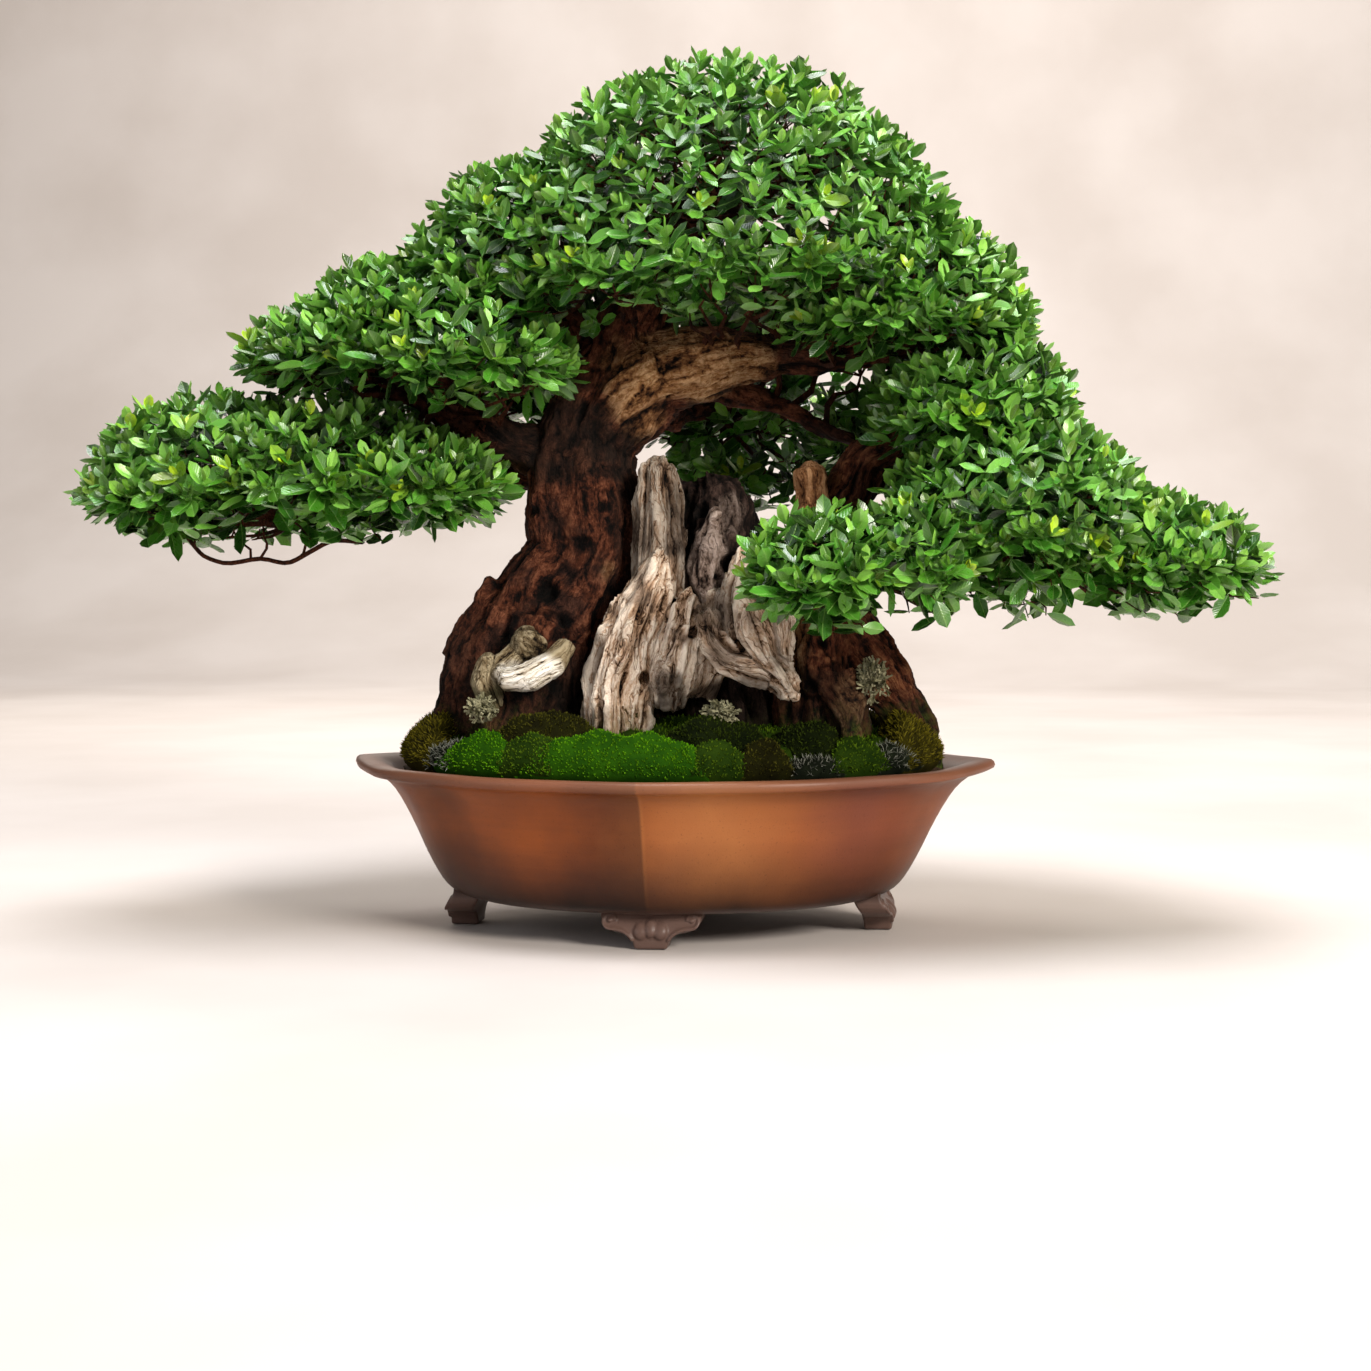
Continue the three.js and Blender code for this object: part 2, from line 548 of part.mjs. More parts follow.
// A pointed oval leaf blade folded along its midrib, with its root at the origin, growing along
// +X with its upper face towards +Z
function bladeGeometry(scale) {
  const length = LEAF_LENGTH * scale;
  const width = LEAF_WIDTH * scale;
  const outline = [
    [0, 0, 0],
    [0.32 * length, 0.5 * width, 0],
    [0.7 * length, 0.34 * width, 0],
    [length, 0, -0.06 * length],
    [0.7 * length, -0.34 * width, 0],
    [0.32 * length, -0.5 * width, 0],
  ];
  const points = outline.map(([x, y, z]) => new THREE.Vector3(x, y, z));
  const midX = 0.5 * length;
  points.push(new THREE.Vector3(midX, 0, LEAF_THICK / 2 - LEAF_FOLD));
  points.push(new THREE.Vector3(midX, 0, -LEAF_THICK / 2 - LEAF_FOLD));
  const index = [];
  for (let edge = 0; edge < outline.length; edge += 1) {
    const next = (edge + 1) % outline.length;
    index.push(6, edge, next);
    index.push(7, next, edge);
  }
  const geometry = new THREE.BufferGeometry().setFromPoints(points);
  geometry.setIndex(index);
  return geometry;
}

// Places over a blob's core that are all at least the leaf spacing apart, each with the direction
// that leaves grow out in
function leafSpots(blob, taken) {
  const [x, y, z] = blob;
  const [halfWidth, halfDepth, above, below] = coreSizes(blob);
  const spots = [];
  for (let i = 0; i < SPOT_TRIES; i += 1) {
    const level = 1 - (2 * i + 1) / SPOT_TRIES;
    const round = Math.sqrt(1 - level * level);
    const turn = i * GOLDEN_TURN;
    const height = level > 0 ? above : below;
    const ux = round * Math.cos(turn);
    const uy = round * Math.sin(turn);
    const place = new THREE.Vector3(x + ux * halfWidth, y + uy * halfDepth, z + level * height);
    const out = new THREE.Vector3(ux / halfWidth, uy / halfDepth, level / height).normalize();
    const spacing = LEAF_SPACING * (out.z < -0.5 ? UNDERSIDE_THINNING : 1);
    if (taken.every((other) => other.distanceTo(place) > spacing)) {
      spots.push({ place, out, turn: i * 2.1 });
      taken.push(place);
    }
  }
  return spots;
}

function insideCore(point, blob) {
  const [x, y, z] = blob;
  const [halfWidth, halfDepth, above, below] = coreSizes(blob);
  const height = point.z > z ? above : below;
  const share = ((point.x - x) / halfWidth) ** 2 + ((point.y - y) / halfDepth) ** 2 + ((point.z - z) / height) ** 2;
  return share < 0.95;
}

// One blade rooted at a spot. lean is how far it tips from straight out, in radians.
function bladeAt(spot, lean, turn, scale) {
  const start = Math.abs(spot.out.z) > 0.9 ? new THREE.Vector3(1, 0, 0) : new THREE.Vector3(0, 0, 1);
  const side = new THREE.Vector3().crossVectors(spot.out, start).normalize();
  side.applyAxisAngle(spot.out, turn);
  const along = spot.out.clone().applyAxisAngle(side, lean);
  along.z += LEAF_LIFT;
  along.normalize();
  const across = new THREE.Vector3().crossVectors(spot.out, along).normalize();
  const face = new THREE.Vector3().crossVectors(along, across);
  const root = spot.place.clone().addScaledVector(along, -LEAF_ROOT);
  const matrix = new THREE.Matrix4().makeBasis(along, across, face).setPosition(root);
  return solidOf(bladeGeometry(scale).applyMatrix4(matrix));
}

function boxesMeet(a, b, margin) {
  return [0, 1, 2].every((axis) => a.min[axis] - margin < b.max[axis] && b.min[axis] - margin < a.max[axis]);
}

function standsClear(solid, others) {
  const box = solid.boundingBox();
  return others.every((other) => !boxesMeet(box, other.box, CLEAR) || solid.minGap(other.solid, 2 * CLEAR) >= CLEAR);
}

function boxed(solid) {
  return { solid, box: solid.boundingBox() };
}

const LEANS = [0.68, 1, 0.84, 1.2, 0.5, 0.3];

// A pad's core with its blades, each bent until it stands clear of everything else
function leafyPad(core, blobs, obstacles, random) {
  const blades = [];
  const taken = [];
  for (const blob of blobs) {
    const others = blobs.filter((one) => one !== blob);
    const spots = leafSpots(blob, taken).filter((spot) => !others.some((one) => insideCore(spot.place, one)));
    for (const spot of spots) {
      const scale = 0.88 + 0.24 * random();
      const extra = 0.6 * (random() - 0.5);
      const leans = blades.length % 2 === 0 ? LEANS : [LEANS[1], LEANS[0], ...LEANS.slice(2)];
      const blade = leans
        .map((lean) => bladeAt(spot, lean, spot.turn + extra, scale))
        .find((one) => standsClear(one, obstacles));
      if (blade) blades.push(blade);
    }
  }
  return mainBody(join([core, ...blades]));
}

// Assembly

const FINISH = {
  clay: ['#96552d', 0.55],
  soil: ['#3c2d23', 1],
  screen: ['#2b2b2b', 0.7],
  bark: ['#5f3726', 0.9],
  rightBark: ['#6b4432', 0.9],
  deadwood: ['#bea582', 0.85],
  darkDeadwood: ['#5a4b3c', 0.9],
  wornRoot: ['#d7cdbe', 0.8],
  lichen: ['#96966e', 1],
  bright: ['#558719', 1],
  mid: ['#3f6a1c', 1],
  dark: ['#283c14', 1],
  olive: ['#5f5f1e', 1],
  brown: ['#4b4119', 1],
  hoary: ['#82827a', 1],
  leaf: ['#4b7832', 0.45],
};

const group = new THREE.Group();

function addPiece(name, solid, finish) {
  const [color, roughness] = FINISH[finish];
  const material = new THREE.MeshStandardMaterial({ color, roughness, metalness: 0 });
  const mesh = new THREE.Mesh(geometryOf(solid), material);
  mesh.name = name;
  group.add(mesh);
}

const trunk = grown(TRUNK_LIMBS);
const rightTrunk = grown(RIGHT_LIMBS);
const frontDead = grown(FRONT_DEAD_LIMBS);
const backDead = grown(BACK_DEAD_LIMBS);
const wornRoot = grown(WORN_ROOT_LIMBS);
const woodClears = [trunk, rightTrunk, frontDead, backDead, wornRoot].map((piece) => piece.clear);
const woodPieces = [
  ['live_trunk', mainBody(trunk.body), 'bark'],
  ['right_trunk', mainBody(cut(rightTrunk.body, [trunk.clear])), 'rightBark'],
  ['deadwood_front', mainBody(cut(frontDead.body, [trunk.clear, rightTrunk.clear])), 'deadwood'],
  ['deadwood_back', mainBody(cut(backDead.body, [trunk.clear, rightTrunk.clear, frontDead.clear])), 'darkDeadwood'],
  ['worn_root', mainBody(cut(wornRoot.body, [trunk.clear, frontDead.clear])), 'wornRoot'],
];

addPiece('pot', buildPot(), 'clay');
const screenRoom = new THREE.BoxGeometry(SCREEN_SIDE + 2 * CLEAR, SCREEN_SIDE + 2 * CLEAR, 2 * (SCREEN_THICK + 2 * SEAT));
for (const [name, x] of [['drain_screen_left', -DRAIN_X], ['drain_screen_right', DRAIN_X]]) {
  addPiece(name, buildScreen(x), 'screen');
}
const rooms = [-DRAIN_X, DRAIN_X].map((x) => solidOf(screenRoom).translate([x, 0, FLOOR_HEIGHT]));
addPiece('soil', mainBody(cut(soilSolid(0), [...rooms, ...woodClears])), 'soil');
for (const [name, solid, finish] of woodPieces) addPiece(name, solid, finish);

const column = rimColumn();
const soilClear = soilSolid(SEAT);
const placedMoss = [];
for (const [name, colour, halfWidth, halfDepth, top, places] of MOSS) {
  const bodies = places.map(([x, y]) => mound(x, y, halfWidth, halfDepth, top, 0));
  const clears = places.map(([x, y]) => mound(x, y, halfWidth, halfDepth, top, MOSS_CLEAR));
  const shaped = cut(join(bodies).intersect(column), [soilClear, ...woodClears, ...placedMoss]);
  addPiece(name, mainBody(shaped), colour);
  placedMoss.push(...clears);
}
for (const [name, ...sizes] of LICHENS) {
  addPiece(name, mainBody(cut(lichenTuft(...sizes), [soilClear, ...woodClears, ...placedMoss])), 'lichen');
}

const random = seeded(11);
const cores = [];
const coreClears = [];
for (const [, , blobs] of PADS) {
  const whole = join(blobs.map((blob) => blobCore(blob, 0)));
  cores.push(mainBody(cut(whole, [...coreClears, ...woodClears])));
  coreClears.push(join(blobs.map((blob) => blobCore(blob, CLEAR))));
}
const woodObstacles = woodPieces.map(([, solid]) => boxed(solid));
const sprays = [];
PADS.forEach(([name, finish, blobs], order) => {
  const otherCores = cores.filter((_, other) => other > order).map(boxed);
  const spray = leafyPad(cores[order], blobs, [...woodObstacles, ...sprays, ...otherCores], random);
  sprays.push(boxed(spray));
  addPiece(name, spray, finish);
});

const box = new THREE.Box3().setFromObject(group);
const middle = box.getCenter(new THREE.Vector3());
for (const mesh of group.children) mesh.position.set(-middle.x, -middle.y, -box.min.z);

export default group;
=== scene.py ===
"""Old myrtle bonsai in a flared clay pot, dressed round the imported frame.

Lengths in the tables are millimetres round the pot's centre, with z = 0 under the feet, as the
construction has them. The pot's box in the frame gives where that centre is.
"""

import logging
import math
from dataclasses import dataclass, field
from enum import Enum
from itertools import product
from typing import Callable, Sequence

import bpy
import numpy as np
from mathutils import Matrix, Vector


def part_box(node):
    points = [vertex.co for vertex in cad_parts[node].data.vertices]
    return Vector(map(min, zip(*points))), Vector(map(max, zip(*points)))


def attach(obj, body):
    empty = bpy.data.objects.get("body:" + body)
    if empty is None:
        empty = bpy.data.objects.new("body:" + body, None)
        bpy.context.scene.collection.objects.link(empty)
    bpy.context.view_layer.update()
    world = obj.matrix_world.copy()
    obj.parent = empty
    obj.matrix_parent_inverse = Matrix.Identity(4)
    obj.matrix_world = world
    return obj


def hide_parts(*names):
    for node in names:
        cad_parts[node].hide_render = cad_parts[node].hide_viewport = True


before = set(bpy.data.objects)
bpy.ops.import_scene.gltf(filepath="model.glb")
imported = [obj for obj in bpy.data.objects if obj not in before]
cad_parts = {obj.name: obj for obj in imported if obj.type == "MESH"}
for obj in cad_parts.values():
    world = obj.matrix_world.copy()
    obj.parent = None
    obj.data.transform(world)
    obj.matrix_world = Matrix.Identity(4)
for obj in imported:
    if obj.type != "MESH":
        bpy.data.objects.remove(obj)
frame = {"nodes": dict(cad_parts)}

log = logging.getLogger("bonsai")
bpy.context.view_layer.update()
MM = 0.001
UP = np.array([0.0, 0.0, 1.0])
GOLDEN_TURN = math.pi * (3 - math.sqrt(5))
BODY = "root"
DEPTH_RATIO = 0.71
HASH_AXES = np.array([374761393, 668265263, 1442695041])
HASH_SEED = 1274126177
HASH_MASK = 0xFFFFFFFF

Array = np.ndarray
Material = bpy.types.Material
Node = bpy.types.Node
Piece = bpy.types.Object
Socket = bpy.types.NodeSocket
Tree = bpy.types.NodeTree
Colour = tuple[float, float, float, float]
Place = tuple[float, float, float]
Spot = tuple[float, Place, Place]
Station = tuple[float, float, float, float]


def pot_centre() -> Vector:
    """Finds the middle of the pot's foot plane in the frame."""
    low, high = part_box("pot")
    return Vector(((low.x + high.x) / 2, (low.y + high.y) / 2, low.z))


CENTRE = pot_centre()


def placed(points: Array) -> Array:
    """Turns layout millimetres into the frame's metres.

    Args:
        points: Places round the pot's centre, one a row.

    Returns:
        The same places in the frame.
    """
    return np.asarray(points, float) * MM + np.array(CENTRE)


def tint(code: str) -> Colour:
    """Gives a hex colour as linear red, green, blue and alpha."""
    parts = [int(code[i:i + 2], 16) / 255 for i in (1, 3, 5)]
    linear = [p / 12.92 if p <= 0.04045 else ((p + 0.055) / 1.055) ** 2.4 for p in parts]
    return (linear[0], linear[1], linear[2], 1.0)


def unit(vectors: Array) -> Array:
    """Scales vectors to length one along their last axis."""
    return vectors / np.maximum(np.linalg.norm(vectors, axis=-1, keepdims=True), 1e-9)


def smooth_step(values: Array, low: float, high: float) -> Array:
    """Rises softly from 0 at low to 1 at high."""
    share = np.clip((values - low) / (high - low), 0, 1)
    return share * share * (3 - 2 * share)


def cell_noise(points: Array, seed: int = 0) -> Array:
    """Smooth lattice noise.

    Args:
        points: Places in lattice units, one a row.
        seed: Chooses the lattice.

    Returns:
        One value from -1 to 1 for each place.
    """
    cell = np.floor(points).astype(np.int64)
    part = points - cell
    fade = part * part * (3 - 2 * part)
    total = np.zeros(len(points))
    for corner in product((0, 1), repeat=3):
        at = cell + np.array(corner)
        mixed = (at @ HASH_AXES + seed * HASH_SEED) & HASH_MASK
        mixed = ((mixed ^ (mixed >> 13)) * HASH_SEED) & HASH_MASK
        value = (mixed ^ (mixed >> 16)) / (HASH_MASK >> 1) - 1
        total += value * np.prod(np.where(np.array(corner) == 1, fade, 1 - fade), axis=1)
    return total


def ridges(points: Array, seed: int = 0) -> Array:
    """Noise folded into sharp crests, from -1 in the hollows to 1 on the crests."""
    return 1 - 2 * np.abs(cell_noise(points, seed)) ** 0.8


def ball_directions(count: int) -> Array:
    """Spreads directions evenly over a ball."""
    level = 1 - (2 * np.arange(count) + 1) / count
    turn = np.arange(count) * GOLDEN_TURN
    flat = np.sqrt(1 - level * level)
    return np.stack([flat * np.cos(turn), flat * np.sin(turn), level], 1)


# Mesh work


def deselect() -> None:
    """Leaves edit mode and selects nothing."""
    if bpy.context.object and bpy.context.object.mode != "OBJECT":
        bpy.ops.object.mode_set(mode="OBJECT")
    bpy.ops.object.select_all(action="DESELECT")


def take(piece: Piece) -> None:
    """Selects one piece alone and makes it active."""
    deselect()
    piece.select_set(True)
    bpy.context.view_layer.objects.active = piece


def edit_all() -> None:
    """Enters edit mode on the active piece with everything selected."""
    bpy.ops.object.mode_set(mode="EDIT")
    bpy.ops.mesh.select_all(action="SELECT")


def settle_transform() -> None:
    """Puts the selected piece's move, turn and size into its mesh."""
    bpy.ops.object.transform_apply(location=True, rotation=True, scale=True)


def linked(name: str, data: bpy.types.ID) -> Piece:
    """Adds an object to the scene that shows the given mesh, curve, light or camera."""
    piece = bpy.data.objects.new(name, data)
    bpy.context.scene.collection.objects.link(piece)
    return piece


def named(name: str) -> Piece:
    """Names the active object and its mesh."""
    piece = bpy.context.object
    piece.name = name
    piece.data.name = name
    return piece


def modify(piece: Piece, kind: str, **settings: object) -> None:
    """Adds a modifier to a piece, sets it and applies it.

    Args:
        piece: The mesh that is changed.
        kind: The modifier's type.
        settings: Values of the modifier.
    """
    take(piece)
    bpy.ops.object.modifier_add(type=kind)
    modifier = piece.modifiers[-1]
    for key, value in settings.items():
        setattr(modifier, key, value)
    bpy.ops.object.modifier_apply(modifier=modifier.name)


def points_of(piece: Piece, kind: str = "co") -> Array:
    """Reads a mesh's points, or with "normal" the way that each faces, one a row."""
    flat = np.zeros(len(piece.data.vertices) * 3)
    piece.data.vertices.foreach_get(kind, flat)
    return flat.reshape(-1, 3)


def triangles_of(piece: Piece) -> Array:
    """Reads which points a mesh's triangles join."""
    piece.data.calc_loop_triangles()
    corners = np.zeros(len(piece.data.loop_triangles) * 3, np.int32)
    piece.data.loop_triangles.foreach_get("vertices", corners)
    return corners.reshape(-1, 3)


def move_points(piece: Piece, points: Array) -> None:
    """Writes a mesh's points back."""
    piece.data.vertices.foreach_set("co", np.ascontiguousarray(points, np.float32).ravel())
    piece.data.update()


def store(piece: Piece, name: str, values: Array) -> None:
    """Stores a value or a vector for each point as a named attribute."""
    kind = "FLOAT" if values.ndim == 1 else "FLOAT_VECTOR"
    key = "value" if values.ndim == 1 else "vector"
    attribute = piece.data.attributes.new(name, kind, "POINT")
    attribute.data.foreach_set(key, np.ascontiguousarray(values, np.float32).ravel())


def soften(piece: Piece, angle: float = 40) -> None:
    """Shades a piece smooth except across edges sharper than the angle in degrees."""
    take(piece)
    bpy.ops.object.shade_smooth_by_angle(angle=math.radians(angle))


def clean(piece: Piece, distance: float = 1e-5) -> None:
    """Merges doubled points and turns the faces outwards."""
    take(piece)
    edit_all()
    bpy.ops.mesh.remove_doubles(threshold=distance)
    bpy.ops.mesh.normals_make_consistent(inside=False)
    bpy.ops.object.mode_set(mode="OBJECT")


def merged_copy(node: str, name: str) -> Piece:
    """Copies a node of the frame to a mesh of its own with its points merged."""
    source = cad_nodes()[node]
    mesh = source.data.copy()
    mesh.materials.clear()
    piece = linked(name, mesh)
    mesh.name = name
    clean(piece)
    return piece


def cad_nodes() -> dict[str, Piece]:
    """Gives the frame's nodes by name."""
    return frame["nodes"]


def joined(pieces: Sequence[Piece], name: str) -> Piece:
    """Joins meshes to one object."""
    take(pieces[0])
    for piece in pieces:
        piece.select_set(True)
    bpy.ops.object.join()
    return named(name)


@dataclass
class MeshParts:
    """Points, faces and what the points carry, gathered before one mesh is made of them."""

    points: list[Array] = field(default_factory=list)
    faces: list[Array] = field(default_factory=list)
    marks: list[Array] = field(default_factory=list)
    places: list[Array] = field(default_factory=list)
    count: int = 0

    def add(self, points: Array, faces: Array, marks: Array, places: Array) -> None:
        """Adds one batch of copies.

        Args:
            points: Copies by points by 3, in metres.
            faces: Triangles of one copy.
            marks: Copies by points by 3, what the material reads.
            places: Copies by points by 2, where each point lies on its blade.
        """
        copies, each = points.shape[:2]
        starts = self.count + each * np.arange(copies)
        self.points.append(points.reshape(-1, 3))
        self.faces.append((faces[None] + starts[:, None, None]).reshape(-1, 3))
        self.marks.append(marks.reshape(-1, 3))
        self.places.append(places.reshape(-1, 2))
        self.count += copies * each

    def build(self, name: str, sharp: float = 35) -> Piece:
        """Makes the mesh object.

        Args:
            name: The piece's name.
            sharp: Edges sharper than this angle in degrees stay crisp.

        Returns:
            The new object, with the attribute "mark" and the UV map "blade".
        """
        points = np.concatenate(self.points)
        faces = np.concatenate(self.faces)
        mesh = bpy.data.meshes.new(name)
        mesh.vertices.add(len(points))
        mesh.vertices.foreach_set("co", points.astype(np.float32).ravel())
        mesh.loops.add(faces.size)
        mesh.loops.foreach_set("vertex_index", faces.astype(np.int32).ravel())
        mesh.polygons.add(len(faces))
        mesh.polygons.foreach_set("loop_start", np.arange(0, faces.size, 3, dtype=np.int32))
        mesh.update(calc_edges=True)
        mesh.polygons.foreach_set("use_smooth", np.ones(len(faces), bool))
        layer = mesh.uv_layers.new(name="blade")
        layer.data.foreach_set("uv", np.concatenate(self.places)[faces.ravel()].astype(np.float32).ravel())
        piece = linked(name, mesh)
        store(piece, "mark", np.concatenate(self.marks))
        mesh.set_sharp_from_angle(angle=math.radians(sharp))
        return piece


# Finishes


class Wiring:
    """A node tree while it is wired, with short calls for the nodes that the finishes use."""

    COLOUR_MIX_INPUTS = (0, 6, 7)
    COLOUR_MIX_OUTPUT = 2

    def __init__(self, tree: Tree) -> None:
        """Starts with an empty tree."""
        self.tree = tree
        tree.nodes.clear()

    def node(self, kind: str, settings: dict[str, object] | None = None, **inputs: object) -> Node:
        """Adds a node.

        Args:
            kind: The node's type.
            settings: Its properties.
            inputs: Its sockets by name with underscores for spaces: a socket to link or a value.

        Returns:
            The node.
        """
        made = self.tree.nodes.new(kind)
        for key, value in (settings or {}).items():
            setattr(made, key, value)
        for key, value in inputs.items():
            self.feed(made.inputs[key.replace("_", " ")], value)
        return made

    def feed(self, socket: Socket, value: object) -> None:
        """Links a socket to another one, or gives it a value or a hex colour."""
        if isinstance(value, Socket):
            self.tree.links.new(value, socket)
        else:
            socket.default_value = tint(value) if isinstance(value, str) else value

    def object_space(self) -> Socket:
        """Gives each point's place in the frame."""
        return self.node("ShaderNodeTexCoord").outputs["Object"]

    def attribute(self, name: str) -> Node:
        """Gives a stored attribute."""
        return self.node("ShaderNodeAttribute", {"attribute_name": name})

    def stretched(self, vector: Socket, scale: Sequence[float]) -> Socket:
        """Scales a place before a pattern reads it."""
        return self.node("ShaderNodeMapping", Vector=vector, Scale=tuple(scale)).outputs["Vector"]

    def noise(self, vector: Socket, scale: float, detail: float = 4, rough: float = 0.55) -> Socket:
        """Adds cloudy noise and gives its value."""
        made = self.node("ShaderNodeTexNoise", Vector=vector, Scale=scale, Detail=detail, Roughness=rough)
        return made.outputs["Fac"]

    def math(self, operation: str, first: object, second: object = 0.0) -> Socket:
        """Joins two values."""
        made = self.node("ShaderNodeMath", {"operation": operation})
        for socket, value in zip(made.inputs, (first, second)):
            self.feed(socket, value)
        return made.outputs[0]

    def plus(self, first: object, second: object) -> Socket:
        """Adds two values."""
        return self.math("ADD", first, second)

    def less(self, first: object, second: object) -> Socket:
        """Takes the second value from the first."""
        return self.math("SUBTRACT", first, second)

    def times(self, first: object, second: object) -> Socket:
        """Multiplies two values."""
        return self.math("MULTIPLY", first, second)

    def off_half(self, value: object) -> Socket:
        """Gives how far a value lies from a half, without its sign."""
        return self.math("ABSOLUTE", self.less(value, 0.5))

    def span(self, value: Socket, low: float, high: float, start: float = 0, end: float = 1) -> Socket:
        """Maps the stretch from low to high onto start to end, held at both ends."""
        made = self.node("ShaderNodeMapRange")
        for socket, part in zip(made.inputs, (value, low, high, start, end)):
            self.feed(socket, part)
        return made.outputs[0]

    def mixed(self, share: object, first: object, second: object) -> Socket:
        """Mixes two colours."""
        made = self.node("ShaderNodeMix", {"data_type": "RGBA"})
        for index, value in zip(self.COLOUR_MIX_INPUTS, (share, first, second)):
            self.feed(made.inputs[index], value)
        return made.outputs[self.COLOUR_MIX_OUTPUT]

    def ramp(self, value: Socket, *stops: tuple[float, str]) -> Socket:
        """Turns a value into a colour along stops of place and hex colour: both ends, then the rest."""
        made = self.node("ShaderNodeValToRGB", Fac=value)
        elements = made.color_ramp.elements
        for index, (place, code) in enumerate(stops):
            stop = elements[index] if index < 2 else elements.new(place)
            stop.position = place
            stop.color = tint(code)
        return made.outputs[0]

    def bump(self, height: Socket, strength: float, distance: float) -> Socket:
        """Turns a height into a normal."""
        made = self.node("ShaderNodeBump", Strength=strength, Distance=distance, Height=height)
        return made.outputs["Normal"]

    def principled(self, colour: Socket, roughness: object, normal: Socket, **constants: object) -> None:
        """Ends a material.

        Args:
            colour: Base colour.
            roughness: Value or socket.
            normal: Normal with the bump.
            constants: Further shader sockets.
        """
        shader = self.node("ShaderNodeBsdfPrincipled", Base_Color=colour, Roughness=roughness,
                           Normal=normal, **constants)
        self.node("ShaderNodeOutputMaterial", Surface=shader.outputs[0])


def new_material(name: str) -> tuple[Material, Wiring]:
    """Makes an empty material with its wiring."""
    material = bpy.data.materials.new(name)
    material.use_nodes = True
    return material, Wiring(material.node_tree)


class Effects:
    """Effects that several finishes share, as node groups that are built once."""

    groups: dict[str, Tree] = {}

    @classmethod
    def group(cls, name: str, inputs: dict[str, str], outputs: dict[str, str],
              wire: Callable[[Wiring, Node], dict[str, Socket]]) -> Tree:
        """Gives a node group, built on its first use.

        Args:
            name: The group's name.
            inputs: Input sockets by name with their types.
            outputs: Output sockets by name with their types.
            wire: Wires the inside and gives the sockets for the outputs.

        Returns:
            The group.
        """
        if name in cls.groups:
            return cls.groups[name]
        tree = bpy.data.node_groups.new(name, "ShaderNodeTree")
        for direction, sockets in (("INPUT", inputs), ("OUTPUT", outputs)):
            for label, kind in sockets.items():
                tree.interface.new_socket(label, in_out=direction, socket_type=kind)
        wiring = Wiring(tree)
        start = tree.nodes.new("NodeGroupInput")
        end = tree.nodes.new("NodeGroupOutput")
        for label, socket in wire(wiring, start).items():
            tree.links.new(socket, end.inputs[label])
        cls.groups[name] = tree
        return tree

    @classmethod
    def mottle(cls, wiring: Wiring, vector: Socket, scale: float, low: str, high: str) -> Socket:
        """Cloudy change between two hex colours."""

        def wire(inner: Wiring, start: Node) -> dict[str, Socket]:
            """Wires the inside of the group."""
            cloud = inner.node("ShaderNodeTexNoise", Vector=start.outputs["Vector"],
                               Scale=start.outputs["Scale"], Detail=5.0)
            mask = inner.span(cloud.outputs["Fac"], 0.36, 0.64)
            return {"Colour": inner.mixed(mask, start.outputs["Low"], start.outputs["High"])}

        tree = cls.group(
            "mottle",
            {"Vector": "NodeSocketVector", "Scale": "NodeSocketFloat",
             "Low": "NodeSocketColor", "High": "NodeSocketColor"},
            {"Colour": "NodeSocketColor"},
            wire,
        )
        made = wiring.node("ShaderNodeGroup", {"node_tree": tree}, Vector=vector, Scale=scale,
                           Low=low, High=high)
        return made.outputs["Colour"]

    @classmethod
    def grit(cls, wiring: Wiring, vector: Socket, scale: float) -> Socket:
        """Height of a fine grainy surface."""

        def wire(inner: Wiring, start: Node) -> dict[str, Socket]:
            """Wires the inside of the group."""
            place, size = start.outputs["Vector"], start.outputs["Scale"]
            cells = inner.node("ShaderNodeTexVoronoi", Vector=place, Scale=size)
            cloud = inner.node("ShaderNodeTexNoise", Vector=place, Scale=size, Detail=3.0)
            return {"Height": inner.plus(inner.times(cells.outputs["Distance"], -0.5), cloud.outputs["Fac"])}

        tree = cls.group(
            "grit",
            {"Vector": "NodeSocketVector", "Scale": "NodeSocketFloat"},
            {"Height": "NodeSocketFloat"},
            wire,
        )
        made = wiring.node("ShaderNodeGroup", {"node_tree": tree}, Vector=vector, Scale=scale)
        return made.outputs["Height"]


@dataclass(frozen=True)
class ClayPatch:
    """A soft patch on the pot's front, used for painted highlights, painted shade and the glaze's purple: its
    middle and half width in metres, strength and colour.
    """

    middle: float
    reach: float
    strength: float
    colour: str


